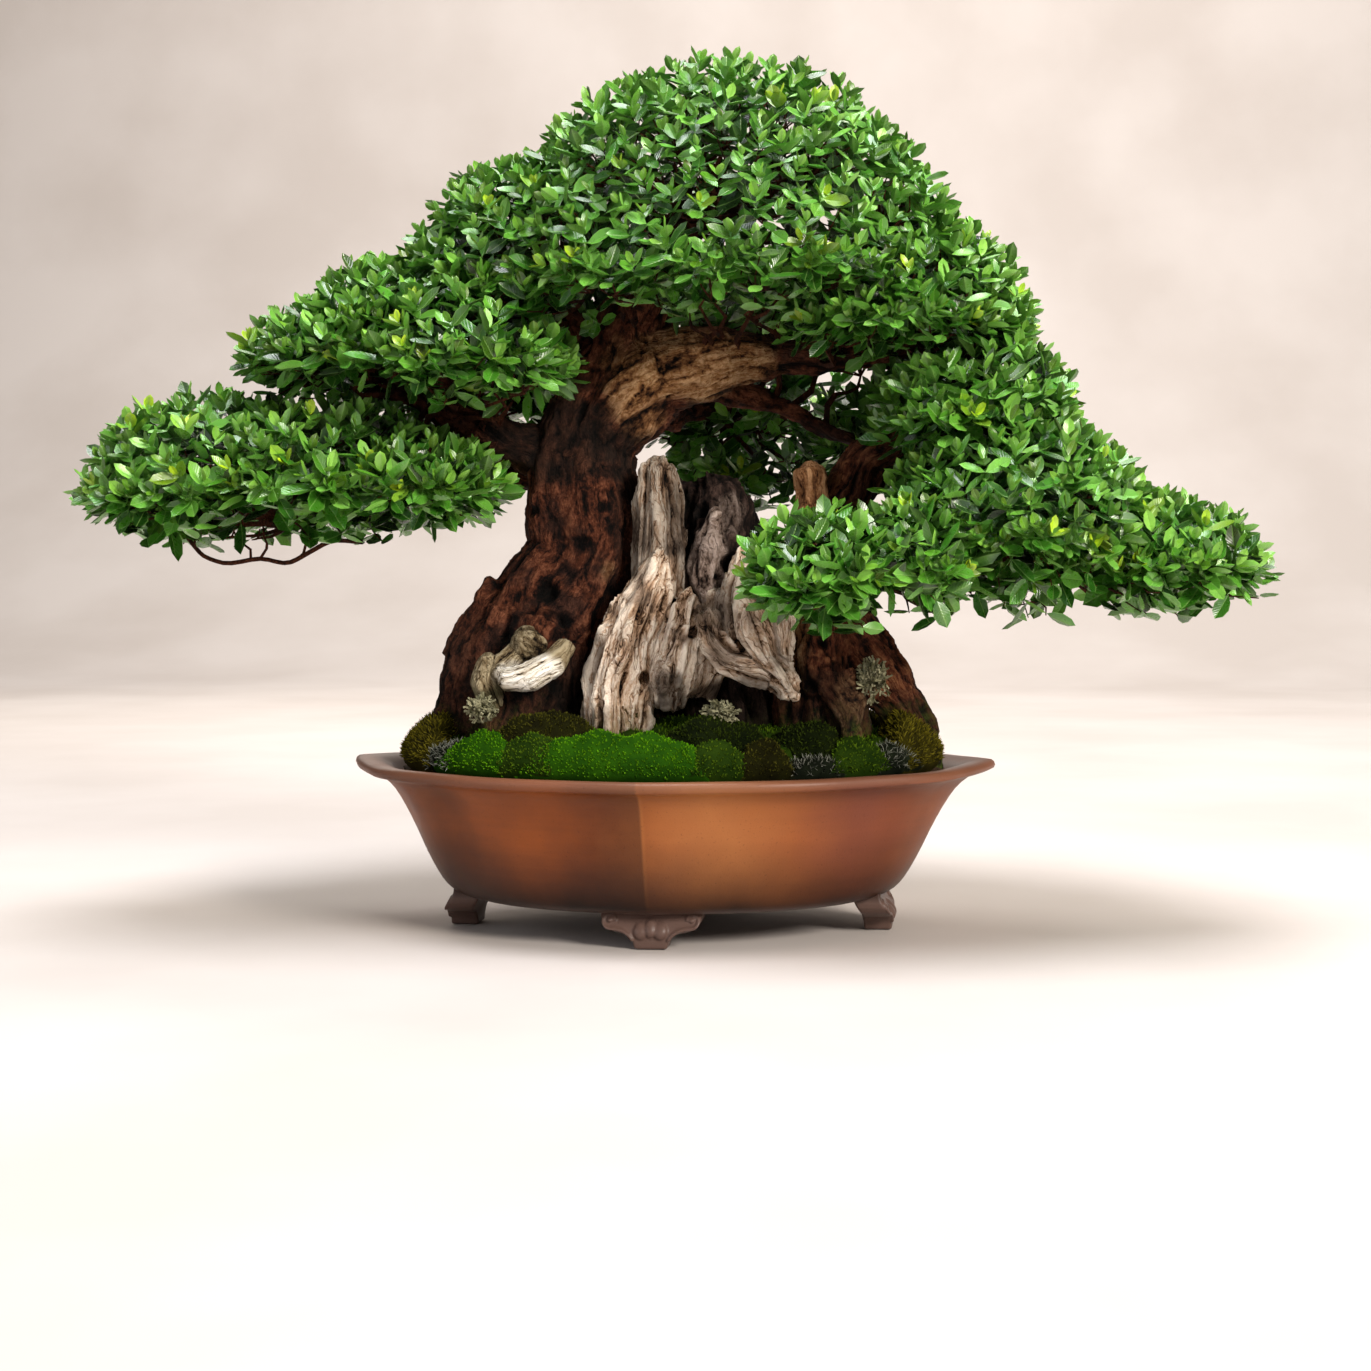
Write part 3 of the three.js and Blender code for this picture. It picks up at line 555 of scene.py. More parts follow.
@dataclass(frozen=True)
class ClayFinish:
    """Satin brown clay: mottled, with painted shade towards the foot and on the left, painted highlights on
    the front, wiping marks and sandy grain.
    """

    red: str = "#8c4614"
    brown: str = "#66300c"
    plum: str = "#6a3c30"
    ridge_highlight: str = "#a26636"
    # Dark brown of the wiping marks and specks, also used as painted shade on the left and towards the foot.
    foot: str = "#180903"
    lip: str = "#6a4838"
    feet: str = "#604b43"
    patches: tuple[ClayPatch, ...] = (
        # Painted highlight right of the front ridge, purplish glaze further right, painted shade on the left
        # end, painted highlight on the right end.
        ClayPatch(0.05, 0.085, 0.75, "#a26636"), ClayPatch(0.15, 0.05, 0.7, "#6a3c30"),
        ClayPatch(-0.19, 0.07, 0.6, "#180903"), ClayPatch(0.2, 0.04, 0.4, "#6a4838"),
    )

    def material(self, name: str, rim_height: float) -> Material:
        """Builds the material.

        Args:
            name: Its name.
            rim_height: Height of the lip in the frame, in metres.

        Returns:
            The material.
        """
        material, wiring = new_material(name)
        space = wiring.object_space()
        body = Effects.mottle(wiring, space, 9.0, self.brown, self.red)
        plum = wiring.span(wiring.noise(space, 5.5, 2), 0.5, 0.62)
        colour = wiring.mixed(wiring.times(plum, 0.4), body, self.plum)
        wiping = wiring.noise(wiring.stretched(space, (6, 6, 130)), 1.0, 5)
        colour = wiring.mixed(wiring.span(wiping, 0.35, 0.7, 0, 0.16), colour, self.foot)
        axes = wiring.node("ShaderNodeSeparateXYZ", Vector=space)
        front = wiring.span(axes.outputs["Y"], -0.09, -0.03, 1, 0)
        cloud = wiring.times(wiring.less(wiring.noise(space, 18.0, 3), 0.5), 0.06)
        sideways = wiring.less(axes.outputs["X"], CENTRE.x)
        across = wiring.plus(sideways, cloud)
        for patch in self.patches:
            gap = wiring.math("ABSOLUTE", wiring.less(across, patch.middle))
            share = wiring.times(wiring.span(gap, 0.0, patch.reach, patch.strength, 0), front)
            colour = wiring.mixed(share, colour, patch.colour)
        # Painted shade left of the front ridge, then a thin painted highlight along the ridge.
        off = wiring.math("ABSOLUTE", sideways)
        left = wiring.times(wiring.span(off, 0.0, 0.06, 0.5, 0), wiring.span(sideways, -0.0012, 0.0, 1, 0))
        colour = wiring.mixed(left, colour, self.foot)
        colour = wiring.mixed(wiring.span(off, 0.0005, 0.002, 0.28, 0), colour, self.ridge_highlight)
        # Painted shade towards the foot, with a cloudy upper edge.
        base_shade_height = wiring.plus(axes.outputs["Z"], wiring.times(wiring.noise(space, 14.0), 0.03))
        colour = wiring.mixed(wiring.span(base_shade_height, 0.04, 0.094, 1, 0), colour, self.foot)
        rim = wiring.span(axes.outputs["Z"], rim_height - 0.009, rim_height - 0.004, 0, 0.7)
        colour = wiring.mixed(rim, colour, self.lip)
        colour = wiring.mixed(wiring.span(axes.outputs["Z"], 0.022, 0.029, 0.85, 0), colour, self.feet)
        speck = wiring.span(wiring.noise(space, 700.0, 2), 0.62, 0.75, 0, 0.3)
        colour = wiring.mixed(speck, colour, self.foot)
        grain = Effects.grit(wiring, space, 850.0)
        height = wiring.plus(wiring.times(grain, 0.35), wiring.times(wiping, 0.9))
        rough = wiring.span(wiring.noise(space, 22.0), 0.3, 0.7, 0.34, 0.46)
        wiring.principled(colour, rough, wiring.bump(height, 0.28, 0.0006), Specular_IOR_Level=0.24)
        return material


@dataclass(frozen=True)
class WoodFinish:
    """Fibrous wood or bark. Its zones are how hollow a point is, which darkens its grooves partly as painted
    shade, how bare it is, and how much painted shade and stain blacken it.
    """

    deep: str
    groove: str
    body: str
    crest: str
    patch: str
    pale_groove: str = "#5a3a22"
    pale_body: str = "#986c44"
    pale_crest: str = "#cda67a"
    streak: float = 1
    lift: float = 0
    moss_height: float = 0.022
    roughness: float = 0.85

    @staticmethod
    def fibres(wiring: Wiring, grain: Socket, space: Socket) -> Node:
        """Wavy fibres along the grain, with outputs Fine, Broad and Crack."""

        def wire(inner: Wiring, start: Node) -> dict[str, Socket]:
            """Wires the inside of the group."""
            wave = inner.node("ShaderNodeTexNoise", Vector=start.outputs["Space"], Scale=70.0, Detail=3.0)
            sway = inner.node("ShaderNodeVectorMath", {"operation": "MULTIPLY_ADD"})
            parts = (wave.outputs["Color"], (0.007, 0.007, 0.007), start.outputs["Grain"])
            for socket, value in zip(sway.inputs, parts):
                inner.feed(socket, value)
            swayed = sway.outputs["Vector"]
            fine = inner.noise(inner.stretched(swayed, (1, 1, 0.13)), 950.0, 5, 0.62)
            broad = inner.noise(inner.stretched(swayed, (1, 1, 0.1)), 250.0, 3, 0.5)
            line = inner.noise(inner.stretched(swayed, (1, 1, 0.07)), 240.0, 2, 0.5)
            crack = inner.span(inner.off_half(line), 0.004, 0.035, 1, 0)
            return {"Fine": fine, "Broad": broad, "Crack": crack}

        tree = Effects.group(
            "fibres",
            {"Grain": "NodeSocketVector", "Space": "NodeSocketVector"},
            {"Fine": "NodeSocketFloat", "Broad": "NodeSocketFloat", "Crack": "NodeSocketFloat"},
            wire,
        )
        return wiring.node("ShaderNodeGroup", {"node_tree": tree}, Grain=grain, Space=space)

    def material(self, name: str, soil_height: float) -> Material:
        """Builds the material.

        Args:
            name: Its name.
            soil_height: Height where the wood leaves the soil, in metres.

        Returns:
            The material.
        """
        material, wiring = new_material(name)
        space = wiring.object_space()
        fibre = self.fibres(wiring, wiring.attribute("grain").outputs["Vector"], space)
        zones = wiring.node("ShaderNodeSeparateXYZ", Vector=wiring.attribute("zones").outputs["Vector"])
        hollow, pale, shade_and_stain = (zones.outputs[axis] for axis in "XYZ")
        # Hollow points sit lower on the ramp: partly darker wood in the grooves, partly painted shade.
        level = wiring.less(0.8 + self.lift, wiring.times(hollow, 0.8))
        flakes = wiring.noise(space, 330.0, 6, 0.66)
        strands = (
            (fibre.outputs["Fine"], 0.5 + 0.6 * self.streak),
            (fibre.outputs["Broad"], 0.8 * self.streak),
            (flakes, 1.5 - 1.1 * self.streak),
        )
        for strand, strength in strands:
            level = wiring.plus(level, wiring.times(wiring.less(strand, 0.5), strength))
        level = wiring.less(level, wiring.times(fibre.outputs["Crack"], 0.3 * self.streak))
        colour = wiring.ramp(level, (0.04, self.deep), (0.92, self.crest),
                             (0.26, self.groove), (0.55, self.body))
        patches = wiring.span(wiring.noise(space, 24.0, 5, 0.6), 0.5, 0.6, 0, 0.8)
        colour = wiring.mixed(patches, colour, wiring.mixed(level, self.deep, self.patch))
        bleached = wiring.ramp(level, (0.04, self.deep), (0.86, self.pale_crest),
                               (0.24, self.pale_groove), (0.5, self.pale_body))
        colour = wiring.mixed(pale, colour, bleached)
        height = wiring.node("ShaderNodeSeparateXYZ", Vector=space).outputs["Z"]
        cloud = wiring.noise(space, 60.0, 4)
        damp = wiring.plus(height, wiring.times(cloud, -0.06))
        damp = wiring.span(damp, soil_height - 0.03, soil_height + self.moss_height - 0.02, 0.9, 0)
        green = Effects.mottle(wiring, space, 240.0, "#0c1008", "#3f4c18")
        colour = wiring.mixed(damp, colour, green)
        # Painted shade, with some stain: the zone mixes in near-black under the canopy, between parts and in
        # hollows.
        dark = wiring.times(shade_and_stain, wiring.span(cloud, 0.25, 0.6, 1, 0.7))
        colour = wiring.mixed(dark, colour, wiring.mixed(level, "#050403", "#2a201a"))
        relief = wiring.plus(fibre.outputs["Fine"], wiring.times(fibre.outputs["Broad"], 1.2 * self.streak))
        relief = wiring.plus(relief, wiring.times(flakes, 1.4 - self.streak))
        relief = wiring.less(relief, wiring.times(fibre.outputs["Crack"], 0.5))
        wiring.principled(colour, self.roughness, wiring.bump(relief, 0.9, 0.0022), Specular_IOR_Level=0.12)
        return material


@dataclass(frozen=True)
class LeafFinish:
    """Glossy leaf: mark holds tone, which also carries painted shade for the inner layers, youth and
    underside; the UV map runs along and across the blade.
    """

    deep: str = "#071a02"
    dark: str = "#1f4e0d"
    mid: str = "#428420"
    light: str = "#7ebc4c"
    young: str = "#c0de20"
    under: str = "#6a9048"
    rib: str = "#98c468"

    def material(self, name: str) -> Material:
        """Builds the material."""
        material, wiring = new_material(name)
        mark = wiring.node("ShaderNodeSeparateXYZ", Vector=wiring.attribute("mark").outputs["Vector"])
        tone, youth, under = (mark.outputs[axis] for axis in "XYZ")
        blade = wiring.node("ShaderNodeUVMap", {"uv_map": "blade"}).outputs["UV"]
        across = wiring.node("ShaderNodeSeparateXYZ", Vector=blade)
        # Low tones, which the inner layers get, are painted shade down to deep.
        colour = wiring.ramp(tone, (0.0, self.deep), (1.0, self.light), (0.25, self.dark), (0.58, self.mid))
        colour = wiring.mixed(youth, colour, self.young)
        side = wiring.off_half(across.outputs["Y"])
        rib = wiring.span(side, 0.0, 0.05, 0.5, 0)
        edge = wiring.span(side, 0.42, 0.5, 0, 0.3)
        colour = wiring.mixed(wiring.math("MAXIMUM", rib, edge), colour, self.rib)
        colour = wiring.mixed(wiring.times(under, 0.6), colour, self.under)
        blotch = wiring.noise(wiring.object_space(), 260.0, 3)
        colour = wiring.mixed(wiring.span(blotch, 0.4, 0.7, 0, 0.22), colour, self.dark)
        slant = wiring.plus(across.outputs["X"], wiring.times(side, -0.55))
        veins = wiring.math("SINE", wiring.times(slant, 55.0))
        height = wiring.plus(wiring.times(veins, 0.25), wiring.times(rib, -1.2))
        rough = wiring.span(blotch, 0.3, 0.7, 0.24, 0.36)
        wiring.principled(colour, rough, wiring.bump(height, 0.35, 0.0005), Specular_IOR_Level=0.75)
        return material


@dataclass(frozen=True)
class MossFinish:
    """Moss with painted shade low between its shoots: mark holds the height in the tuft and its tone."""

    deep: str
    low: str
    high: str
    tip: str

    def material(self, name: str) -> Material:
        """Builds the material."""
        material, wiring = new_material(name)
        space = wiring.object_space()
        mark = wiring.node("ShaderNodeSeparateXYZ", Vector=wiring.attribute("mark").outputs["Vector"])
        cushion = Effects.mottle(wiring, space, 75.0, self.low, self.high)
        shoot = wiring.mixed(wiring.times(mark.outputs["Y"], 0.8), cushion, self.tip)
        # Painted shade: low in the tuft the colour falls to deep.
        colour = wiring.mixed(wiring.span(mark.outputs["X"], 0.0, 0.85), self.deep, shoot)
        height = Effects.grit(wiring, space, 1400.0)
        wiring.principled(colour, 0.9, wiring.bump(height, 0.5, 0.0008), Specular_IOR_Level=0.04)
        return material


@dataclass(frozen=True)
class CrustFinish:
    """Dry matt crust in two tones: lichen, soil and the floor of the studio use it."""

    low: str
    high: str
    scale: float
    roughness: float = 0.92
    relief: float = 0.0005

    def material(self, name: str) -> Material:
        """Builds the material."""
        material, wiring = new_material(name)
        space = wiring.object_space()
        colour = Effects.mottle(wiring, space, self.scale, self.low, self.high)
        height = Effects.grit(wiring, space, self.scale * 6)
        normal = wiring.bump(height, 0.5, self.relief)
        wiring.principled(colour, self.roughness, normal, Specular_IOR_Level=0.12)
        return material


class MossColour(Enum):
    """Kinds of moss by colour, each with its finish."""

    BRIGHT = MossFinish("#081a02", "#224e02", "#376c04", "#6aa010")
    MID = MossFinish("#070f02", "#1e3604", "#344e0a", "#648018")
    DARK = MossFinish("#030501", "#0e1703", "#1b2507", "#404f12")
    OLIVE = MossFinish("#0a0902", "#302c06", "#4e480c", "#8c8228")
    BROWN = MossFinish("#060501", "#191804", "#2a2b08", "#5a581c")
    HOARY = MossFinish("#040503", "#141a10", "#262e1e", "#b8baac")


class Wood(Enum):
    """Kinds of wood by look, each with its finish."""

    BARK = WoodFinish("#040201", "#1f0e08", "#4c2819", "#7c4c36", "#30201b", streak=0.35)
    RIGHT_BARK = WoodFinish("#080403", "#2c150c", "#603422", "#946040", "#40291f", streak=0.6)
    BLEACHED_WOOD = WoodFinish("#080403", "#664a34", "#c8a688", "#f8e8d4", "#ac9480", lift=0.2)
    GREY_WOOD = WoodFinish("#030202", "#120b09", "#2c1f1a", "#5a463e", "#221a18",
                           "#4a3a32", "#9c8678", "#dcc8bc", streak=0.5)
    WORN_WOOD = WoodFinish("#0e0a06", "#4a3c28", "#7c6c50", "#a89a7c", "#5c5a3c",
                           "#9c8c74", "#e0d6c4", "#fbf6ec", lift=0.12)


class Finishes:
    """The materials by the record's slot, each built once."""

    WOODS = {"bark": Wood.BARK, "right_bark": Wood.RIGHT_BARK, "deadwood": Wood.BLEACHED_WOOD,
             "dark_deadwood": Wood.GREY_WOOD, "worn_root": Wood.WORN_WOOD}

    def __init__(self) -> None:
        """Builds all of them."""
        soil_height = CENTRE.z + 0.132
        self.by_slot: dict[str, Material] = {
            "clay": ClayFinish().material("satin_clay", CENTRE.z + 0.119),
            "leaf": LeafFinish().material("leaf"),
            "lichen": CrustFinish("#4c4a32", "#9e9a7c", 160.0).material("lichen"),
            "soil": CrustFinish("#1c1510", "#4a3828", 240.0, 0.95, 0.0012).material("bonsai_soil"),
            "screen": CrustFinish("#1c1c1c", "#333333", 300.0, 0.6, 0.0002).material("black_mesh"),
        }
        for slot, wood in self.WOODS.items():
            self.by_slot[slot] = wood.value.material(wood.name.lower(), soil_height)
        for colour in MossColour:
            name = colour.name.lower()
            self.by_slot["moss_" + name] = colour.value.material(name + "_moss")

    def dress(self, piece: Piece, slot: str) -> None:
        """Gives a piece the material of a slot."""
        piece.data.materials.clear()
        piece.data.materials.append(self.by_slot[slot])


def settle(piece: Piece, nodes: Sequence[str], finishes: Finishes, slot: str) -> None:
    """Dresses a finished piece, lets it ride on the part and stand for its nodes, and logs it.

    Args:
        piece: The finished piece.
        nodes: Nodes of the frame that it replaces.
        finishes: The materials.
        slot: Its material slot.
    """
    finishes.dress(piece, slot)
    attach(piece, BODY)
    if nodes:
        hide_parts(*nodes)
    faces = sum(len(polygon.vertices) - 2 for polygon in piece.data.polygons)
    log.info("%s: %d triangles", piece.name, faces)


# Pot


@dataclass(frozen=True)
class PotRow:
    """One level of the pot's wall; shaping is 0 on the round floor and 1 at the rim."""

    half_width: float
    height: float
    shaping: float


@dataclass
class ClayPot:
    """Flared oval pot with a pointed lip, a ridge at front and back and four cloud feet."""

    sides: int = 180
    rows_between: int = 3
    tip_rise: float = 3
    tip_half: float = 0.34
    ridge_half: float = 0.26
    valley_depth: float = 0.028
    valley_half: float = 0.2
    drain_x: float = 75
    drain_radius: float = 13
    foot_x: float = 150
    foot_y: float = 94
    foot_height: float = 25
    foot_depth: float = 20
    wall_rows: tuple[PotRow, ...] = (
        PotRow(146, 24, 0), PotRow(157, 27.5, 0.05), PotRow(166, 36, 0.15), PotRow(176, 54, 0.35),
        PotRow(187, 79, 0.6), PotRow(198, 99, 0.8), PotRow(209, 108.5, 0.95), PotRow(220, 111.4, 1),
    )
    lip_rows: tuple[PotRow, ...] = (
        PotRow(222.2, 112.6, 1), PotRow(223, 114.6, 1), PotRow(222.4, 117, 1), PotRow(220.4, 118.6, 1),
        PotRow(217, 119.1, 1), PotRow(212, 118.8, 0.96), PotRow(206, 117.6, 0.92), PotRow(199, 114, 0.86),
    )
    inner_rows: tuple[PotRow, ...] = (
        PotRow(187, 96, 0.8), PotRow(176, 76, 0.6), PotRow(165, 52, 0.35), PotRow(147, 35, 0.15),
    )

    def smooth_rows(self, rows: Sequence[PotRow]) -> list[PotRow]:
        """Adds rows between the given ones along a smooth curve.

        Args:
            rows: The driving rows.

        Returns:
            The driving rows with the new ones between them.
        """
        values = np.array([(row.half_width, row.height, row.shaping) for row in rows])
        padded = np.vstack([2 * values[0] - values[1], values, 2 * values[-1] - values[-2]])
        result = []
        for i in range(1, len(values)):
            before, start, end, after = padded[i - 1:i + 3]
            for step in range(self.rows_between):
                t = step / self.rows_between
                bend = (2 * start + (end - before) * t + (2 * before - 5 * start + 4 * end - after) * t * t
                        + (3 * start - before - 3 * end + after) * t ** 3) / 2
                result.append(PotRow(*bend))
        return [*result, rows[-1]]

    def spun_wall(self) -> tuple[Piece, Array]:
        """Extrudes a circle row by row up the outside, over the lip and down the inside.

        Returns:
            The round bowl in millimetres, and the shaping of each of its points.
        """
        rows = [*self.smooth_rows(self.wall_rows), *self.lip_rows, *self.smooth_rows(self.inner_rows)]
        deselect()
        bpy.ops.mesh.primitive_circle_add(
            vertices=self.sides, radius=rows[0].half_width, fill_type="NGON", location=(0, 0, rows[0].height))
        bowl = named("pot_body")
        settle_transform()
        edit_all()
        for row, last in zip(rows[1:], rows):
            rise = row.height - last.height
            share = row.half_width / last.half_width
            bpy.ops.mesh.extrude_region_move(TRANSFORM_OT_translate={"value": (0, 0, rise)})
            bpy.ops.transform.resize(value=(share, share, 1), center_override=(0, 0, row.height))
        bpy.ops.object.mode_set(mode="OBJECT")
        shaping = np.repeat([row.shaping for row in rows], self.sides)
        return bowl, shaping

    def gap(self, angle: Array, centres: Sequence[float]) -> Array:
        """Tells how far each angle lies from the nearest centre, in radians."""
        gaps = [np.abs((angle - centre + math.pi) % (2 * math.pi) - math.pi) for centre in centres]
        return np.min(gaps, axis=0)

    def peak(self, angle: Array, centres: Sequence[float], half: float, power: float = 1.5) -> Array:
        """Height from 0 to 1 of pointed peaks round the pot."""
        return np.maximum(0, 1 - self.gap(angle, centres) / half) ** power

    def shape_outline(self, bowl: Piece, shaping: Array) -> None:
        """Presses the round bowl into the lobed oval with its tips, ridges and valleys."""
        points = points_of(bowl)
        angle = np.arctan2(points[:, 1], points[:, 0])
        half_width = np.hypot(points[:, 0], points[:, 1])
        tips = (0, math.pi)
        ridge_places = (math.pi / 2, 1.5 * math.pi)
        tip = (0.012 + 0.036 * shaping ** 2) * self.peak(angle, tips, self.tip_half)
        ridge = (0.014 + 0.016 * shaping) * self.peak(angle, ridge_places, self.ridge_half, 1.1)
        from_valley = self.gap(angle, [turn * math.pi for turn in (0.25, 0.75, 1.25, 1.75)])
        sunk = np.exp(-((from_valley / self.valley_half) ** 2))
        valley = self.valley_depth * np.minimum(1, 2 * shaping) * sunk
        reach = half_width * (1 + tip + ridge - valley)
        rise = self.tip_rise * shaping ** 4 * self.peak(angle, tips, 0.5)
        x = reach * np.cos(angle)
        y = reach * DEPTH_RATIO * np.sin(angle)
        move_points(bowl, placed(np.stack([x, y, points[:, 2] + rise], 1)))

    def foot_outline(self) -> list[tuple[float, float]]:
        """Outline of a cloud foot's face, from the upper left round the pad to the upper right."""
        top = self.foot_height + 6
        left = [(-34, top), (-35, 22), (-34.2, 18.5), (-32, 15.5), (-29, 13.4), (-26, 12), (-22.5, 11.2),
                (-19, 10.5), (-16.5, 9.2), (-14.5, 7.6), (-12.7, 5.4), (-11.8, 3), (-11.4, 0)]
        return left + [(-x, z) for x, z in reversed(left)]

    def foot(self, distance: float, turn: float) -> Piece:
        """Models one foot with its scrolls and medallion.

        Args:
            distance: How far its middle lies from the pot's centre, in millimetres.
            turn: Its turn round the pot in degrees, 0 at the front.

        Returns:
            The foot in the frame.
        """
        outline = self.foot_outline()
        half = self.foot_depth / 2
        mesh = bpy.data.meshes.new("foot")
        mesh.from_pydata([(x, -half, z) for x, z in outline], [], [list(range(len(outline)))])
        plate = linked("foot", mesh)
        take(plate)
        edit_all()
        bpy.ops.mesh.extrude_region_move(TRANSFORM_OT_translate={"value": (0, self.foot_depth, 0)})
        bpy.ops.mesh.select_all(action="SELECT")
        bpy.ops.mesh.normals_make_consistent(inside=False)
        bpy.ops.object.mode_set(mode="OBJECT")
        modify(plate, "BEVEL", width=1.6, segments=2, limit_method="ANGLE", angle_limit=math.radians(50))
        pieces = [plate]
        lobes = ((-6.8, 12.4, 5, 6, 3), (6.8, 12.4, 5, 6, 3), (0, 14.4, 4.4, 6.6, 3.8))
        for lobe in lobes:
            pieces.append(self.boss(*lobe))
        for side in (-1, 1):
            pieces.append(self.scroll(side))
            pieces.append(self.boss(side * 28.2, 19.8, 2.2, 2, 2.6))
        whole = joined(pieces, "foot")
        modify(whole, "REMESH", mode="VOXEL", voxel_size=0.7)
        modify(whole, "SMOOTH", factor=0.5, iterations=3)
        modify(whole, "DECIMATE", ratio=0.35)
        angle = math.radians(turn)
        points = points_of(whole)
        points[:, 1] += 7 * smooth_step(points[:, 2], 9, 28) - distance
        x = points[:, 0] * math.cos(angle) - points[:, 1] * math.sin(angle)
        y = points[:, 0] * math.sin(angle) + points[:, 1] * math.cos(angle)
        move_points(whole, placed(np.stack([x, y, np.maximum(points[:, 2], 0)], 1)))
        return whole

    def boss(self, x: float, z: float, half_width: float, half_height: float, proud: float) -> Piece:
        """Adds one raised lobe to a foot's face."""
        deselect()
        middle = (x, -self.foot_depth / 2, z)
        bpy.ops.mesh.primitive_uv_sphere_add(segments=20, ring_count=12, radius=1, location=middle)
        bpy.context.object.scale = (half_width, proud, half_height)
        settle_transform()
        return bpy.context.object

    def scroll(self, side: int) -> Piece:
        """Adds the raised line that curls into a foot's side scroll."""
        turns = np.linspace(0, 1.5 * math.pi, 16)
        radius = 5.4 - 2.4 * turns / turns[-1]
        curl = [(-28 - r * math.cos(t - 1.4), 19.6 + r * math.sin(t - 1.4)) for r, t in zip(radius, turns)]
        route = [(-12, 6), (-14.6, 9.6), (-19, 12.6), (-23.5, 13.8), *curl]
        curve = bpy.data.curves.new("scroll", "CURVE")
        curve.dimensions = "3D"
        curve.bevel_depth = 1.3
        curve.bevel_resolution = 3
        curve.use_fill_caps = True
        spline = curve.splines.new("POLY")
        spline.points.add(len(route) - 1)
        for point, (x, z) in zip(spline.points, route):
            point.co = (-side * x, -self.foot_depth / 2 - 0.5, z, 1)
        ridge = linked("scroll", curve)
        take(ridge)
        bpy.ops.object.convert(target="MESH")
        return bpy.context.object

    def drill(self, bowl: Piece) -> None:
        """Cuts the two drain holes through the floor."""
        for x in (-self.drain_x, self.drain_x):
            deselect()
            bpy.ops.mesh.primitive_cylinder_add(
                vertices=48, radius=self.drain_radius * MM, depth=0.04, location=placed(np.array([x, 0, 30])))
            cutter = bpy.context.object
            modify(bowl, "BOOLEAN", operation="DIFFERENCE", object=cutter, solver="EXACT")
            bpy.data.objects.remove(cutter)

    def build(self, finishes: Finishes) -> None:
        """Models and dresses the pot."""
        bowl, shaping = self.spun_wall()
        self.shape_outline(bowl, shaping)
        clean(bowl)
        self.drill(bowl)
        spots = ((self.foot_y, 0), (self.foot_y, 180), (self.foot_x, 90), (self.foot_x, -90))
        for distance, turn in spots:
            foot = self.foot(distance, turn)
            self.trim_foot(foot)
            modify(bowl, "BOOLEAN", operation="UNION", object=foot, solver="EXACT")
            bpy.data.objects.remove(foot)
        clean(bowl)
        bowl.name = "clay_pot"
        soften(bowl, 38)
        settle(bowl, ["pot"], finishes, "clay")

    def trim_foot(self, foot: Piece) -> None:
        """Keeps a foot's top inside the thickness of the pot's floor and wall."""
        points = points_of(foot)
        top = placed(np.array([0, 0, self.foot_height + 5]))[2]
        points[:, 2] = np.minimum(points[:, 2], top)
        move_points(foot, points)


@dataclass
class DrainScreens:
    """Plastic mesh squares that keep the soil off the drain holes."""

    side: float = 42
    cells: int = 14
    strand: float = 0.9

    def build(self, finishes: Finishes) -> None:
        """Models one square of mesh over each hole."""
        for node in ("drain_screen_left", "drain_screen_right"):
            low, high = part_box(node)
            middle = (low + high) / 2
            deselect()
            size = self.side * MM * 0.97
            bpy.ops.mesh.primitive_grid_add(
                x_subdivisions=self.cells, y_subdivisions=self.cells, size=size, location=middle)
            settle_transform()
            mesh = named(node + "_mesh")
            modify(mesh, "WIREFRAME", thickness=self.strand * MM, use_even_offset=False)
            settle(mesh, [node], finishes, "screen")


# Wood


@dataclass(frozen=True)
class Limb:
    """A limb's middle line: stations of x, y, z and radius in millimetres."""

    stations: tuple[Station, ...]

    def lines(self) -> tuple[Array, Array, Array, Array, Array]:
        """Works out the line's frame.

        Returns:
            Points, radii, lengths so far, and two directions across the line at each point, carried
            along it without twist.
        """
        values = np.array(self.stations, float)
        points, radii = values[:, :3], values[:, 3]
        steps = np.diff(points, axis=0)
        lengths = np.concatenate([[0], np.cumsum(np.linalg.norm(steps, axis=1))])
        tangents = unit(np.vstack([steps[:1], steps[:-1] + steps[1:], steps[-1:]]))
        across = [np.array([1.0, 0, 0])]
        for tangent in tangents:
            last = across[-1]
            across.append(unit(last - tangent * float(last @ tangent)))
        across_all = np.array(across[1:])
        return points, radii, lengths, across_all, np.cross(tangents, across_all)


class Carving(Enum):
    """How a kind of wood is carved: for each feature its depth, width and length in millimetres."""

    BARK = {"lump": (3.4, 24, 34), "knob": (1.9, 9, 13), "strip": (0.8, 6, 22),
            "fine": (0.9, 3, 7), "crack": (1.1, 7, 24)}
    FLUTED = {"lump": (1.5, 16, 60), "knob": (0.7, 8, 24), "strip": (3.0, 8, 120),
              "fine": (1.1, 3.2, 46), "crack": (2.6, 6, 90)}
    ROUGH = {"lump": (4.2, 18, 26), "knob": (2.4, 9, 13), "strip": (1.8, 7, 38),
             "fine": (1.1, 3.6, 12), "crack": (2.0, 7, 36)}
    WORN = {"lump": (0.9, 14, 30), "knob": (0.5, 6, 9), "strip": (0.5, 5, 60),
            "fine": (0.3, 3, 40), "crack": (0.6, 5, 50)}


Zones = Callable[[Array], tuple[Array, Array]]


def region(points: Array, centre: Sequence[float], reach: Sequence[float]) -> Array:
    """Soft mask that is 1 near a centre and 0 outside an ellipsoid of the given reach."""
    share = np.linalg.norm((points - np.array(centre)) / np.array(reach), axis=1)
    share += 0.22 * cell_noise(points / 9, 77)
    return 1 - smooth_step(share, 0.65, 1.1)


def total(points: Array, *spots: Spot) -> Array:
    """Adds up regions, each given as its strength, centre and reach, and holds the sum at 1."""
    return np.clip(sum(strength * region(points, centre, reach) for strength, centre, reach in spots), 0, 1)


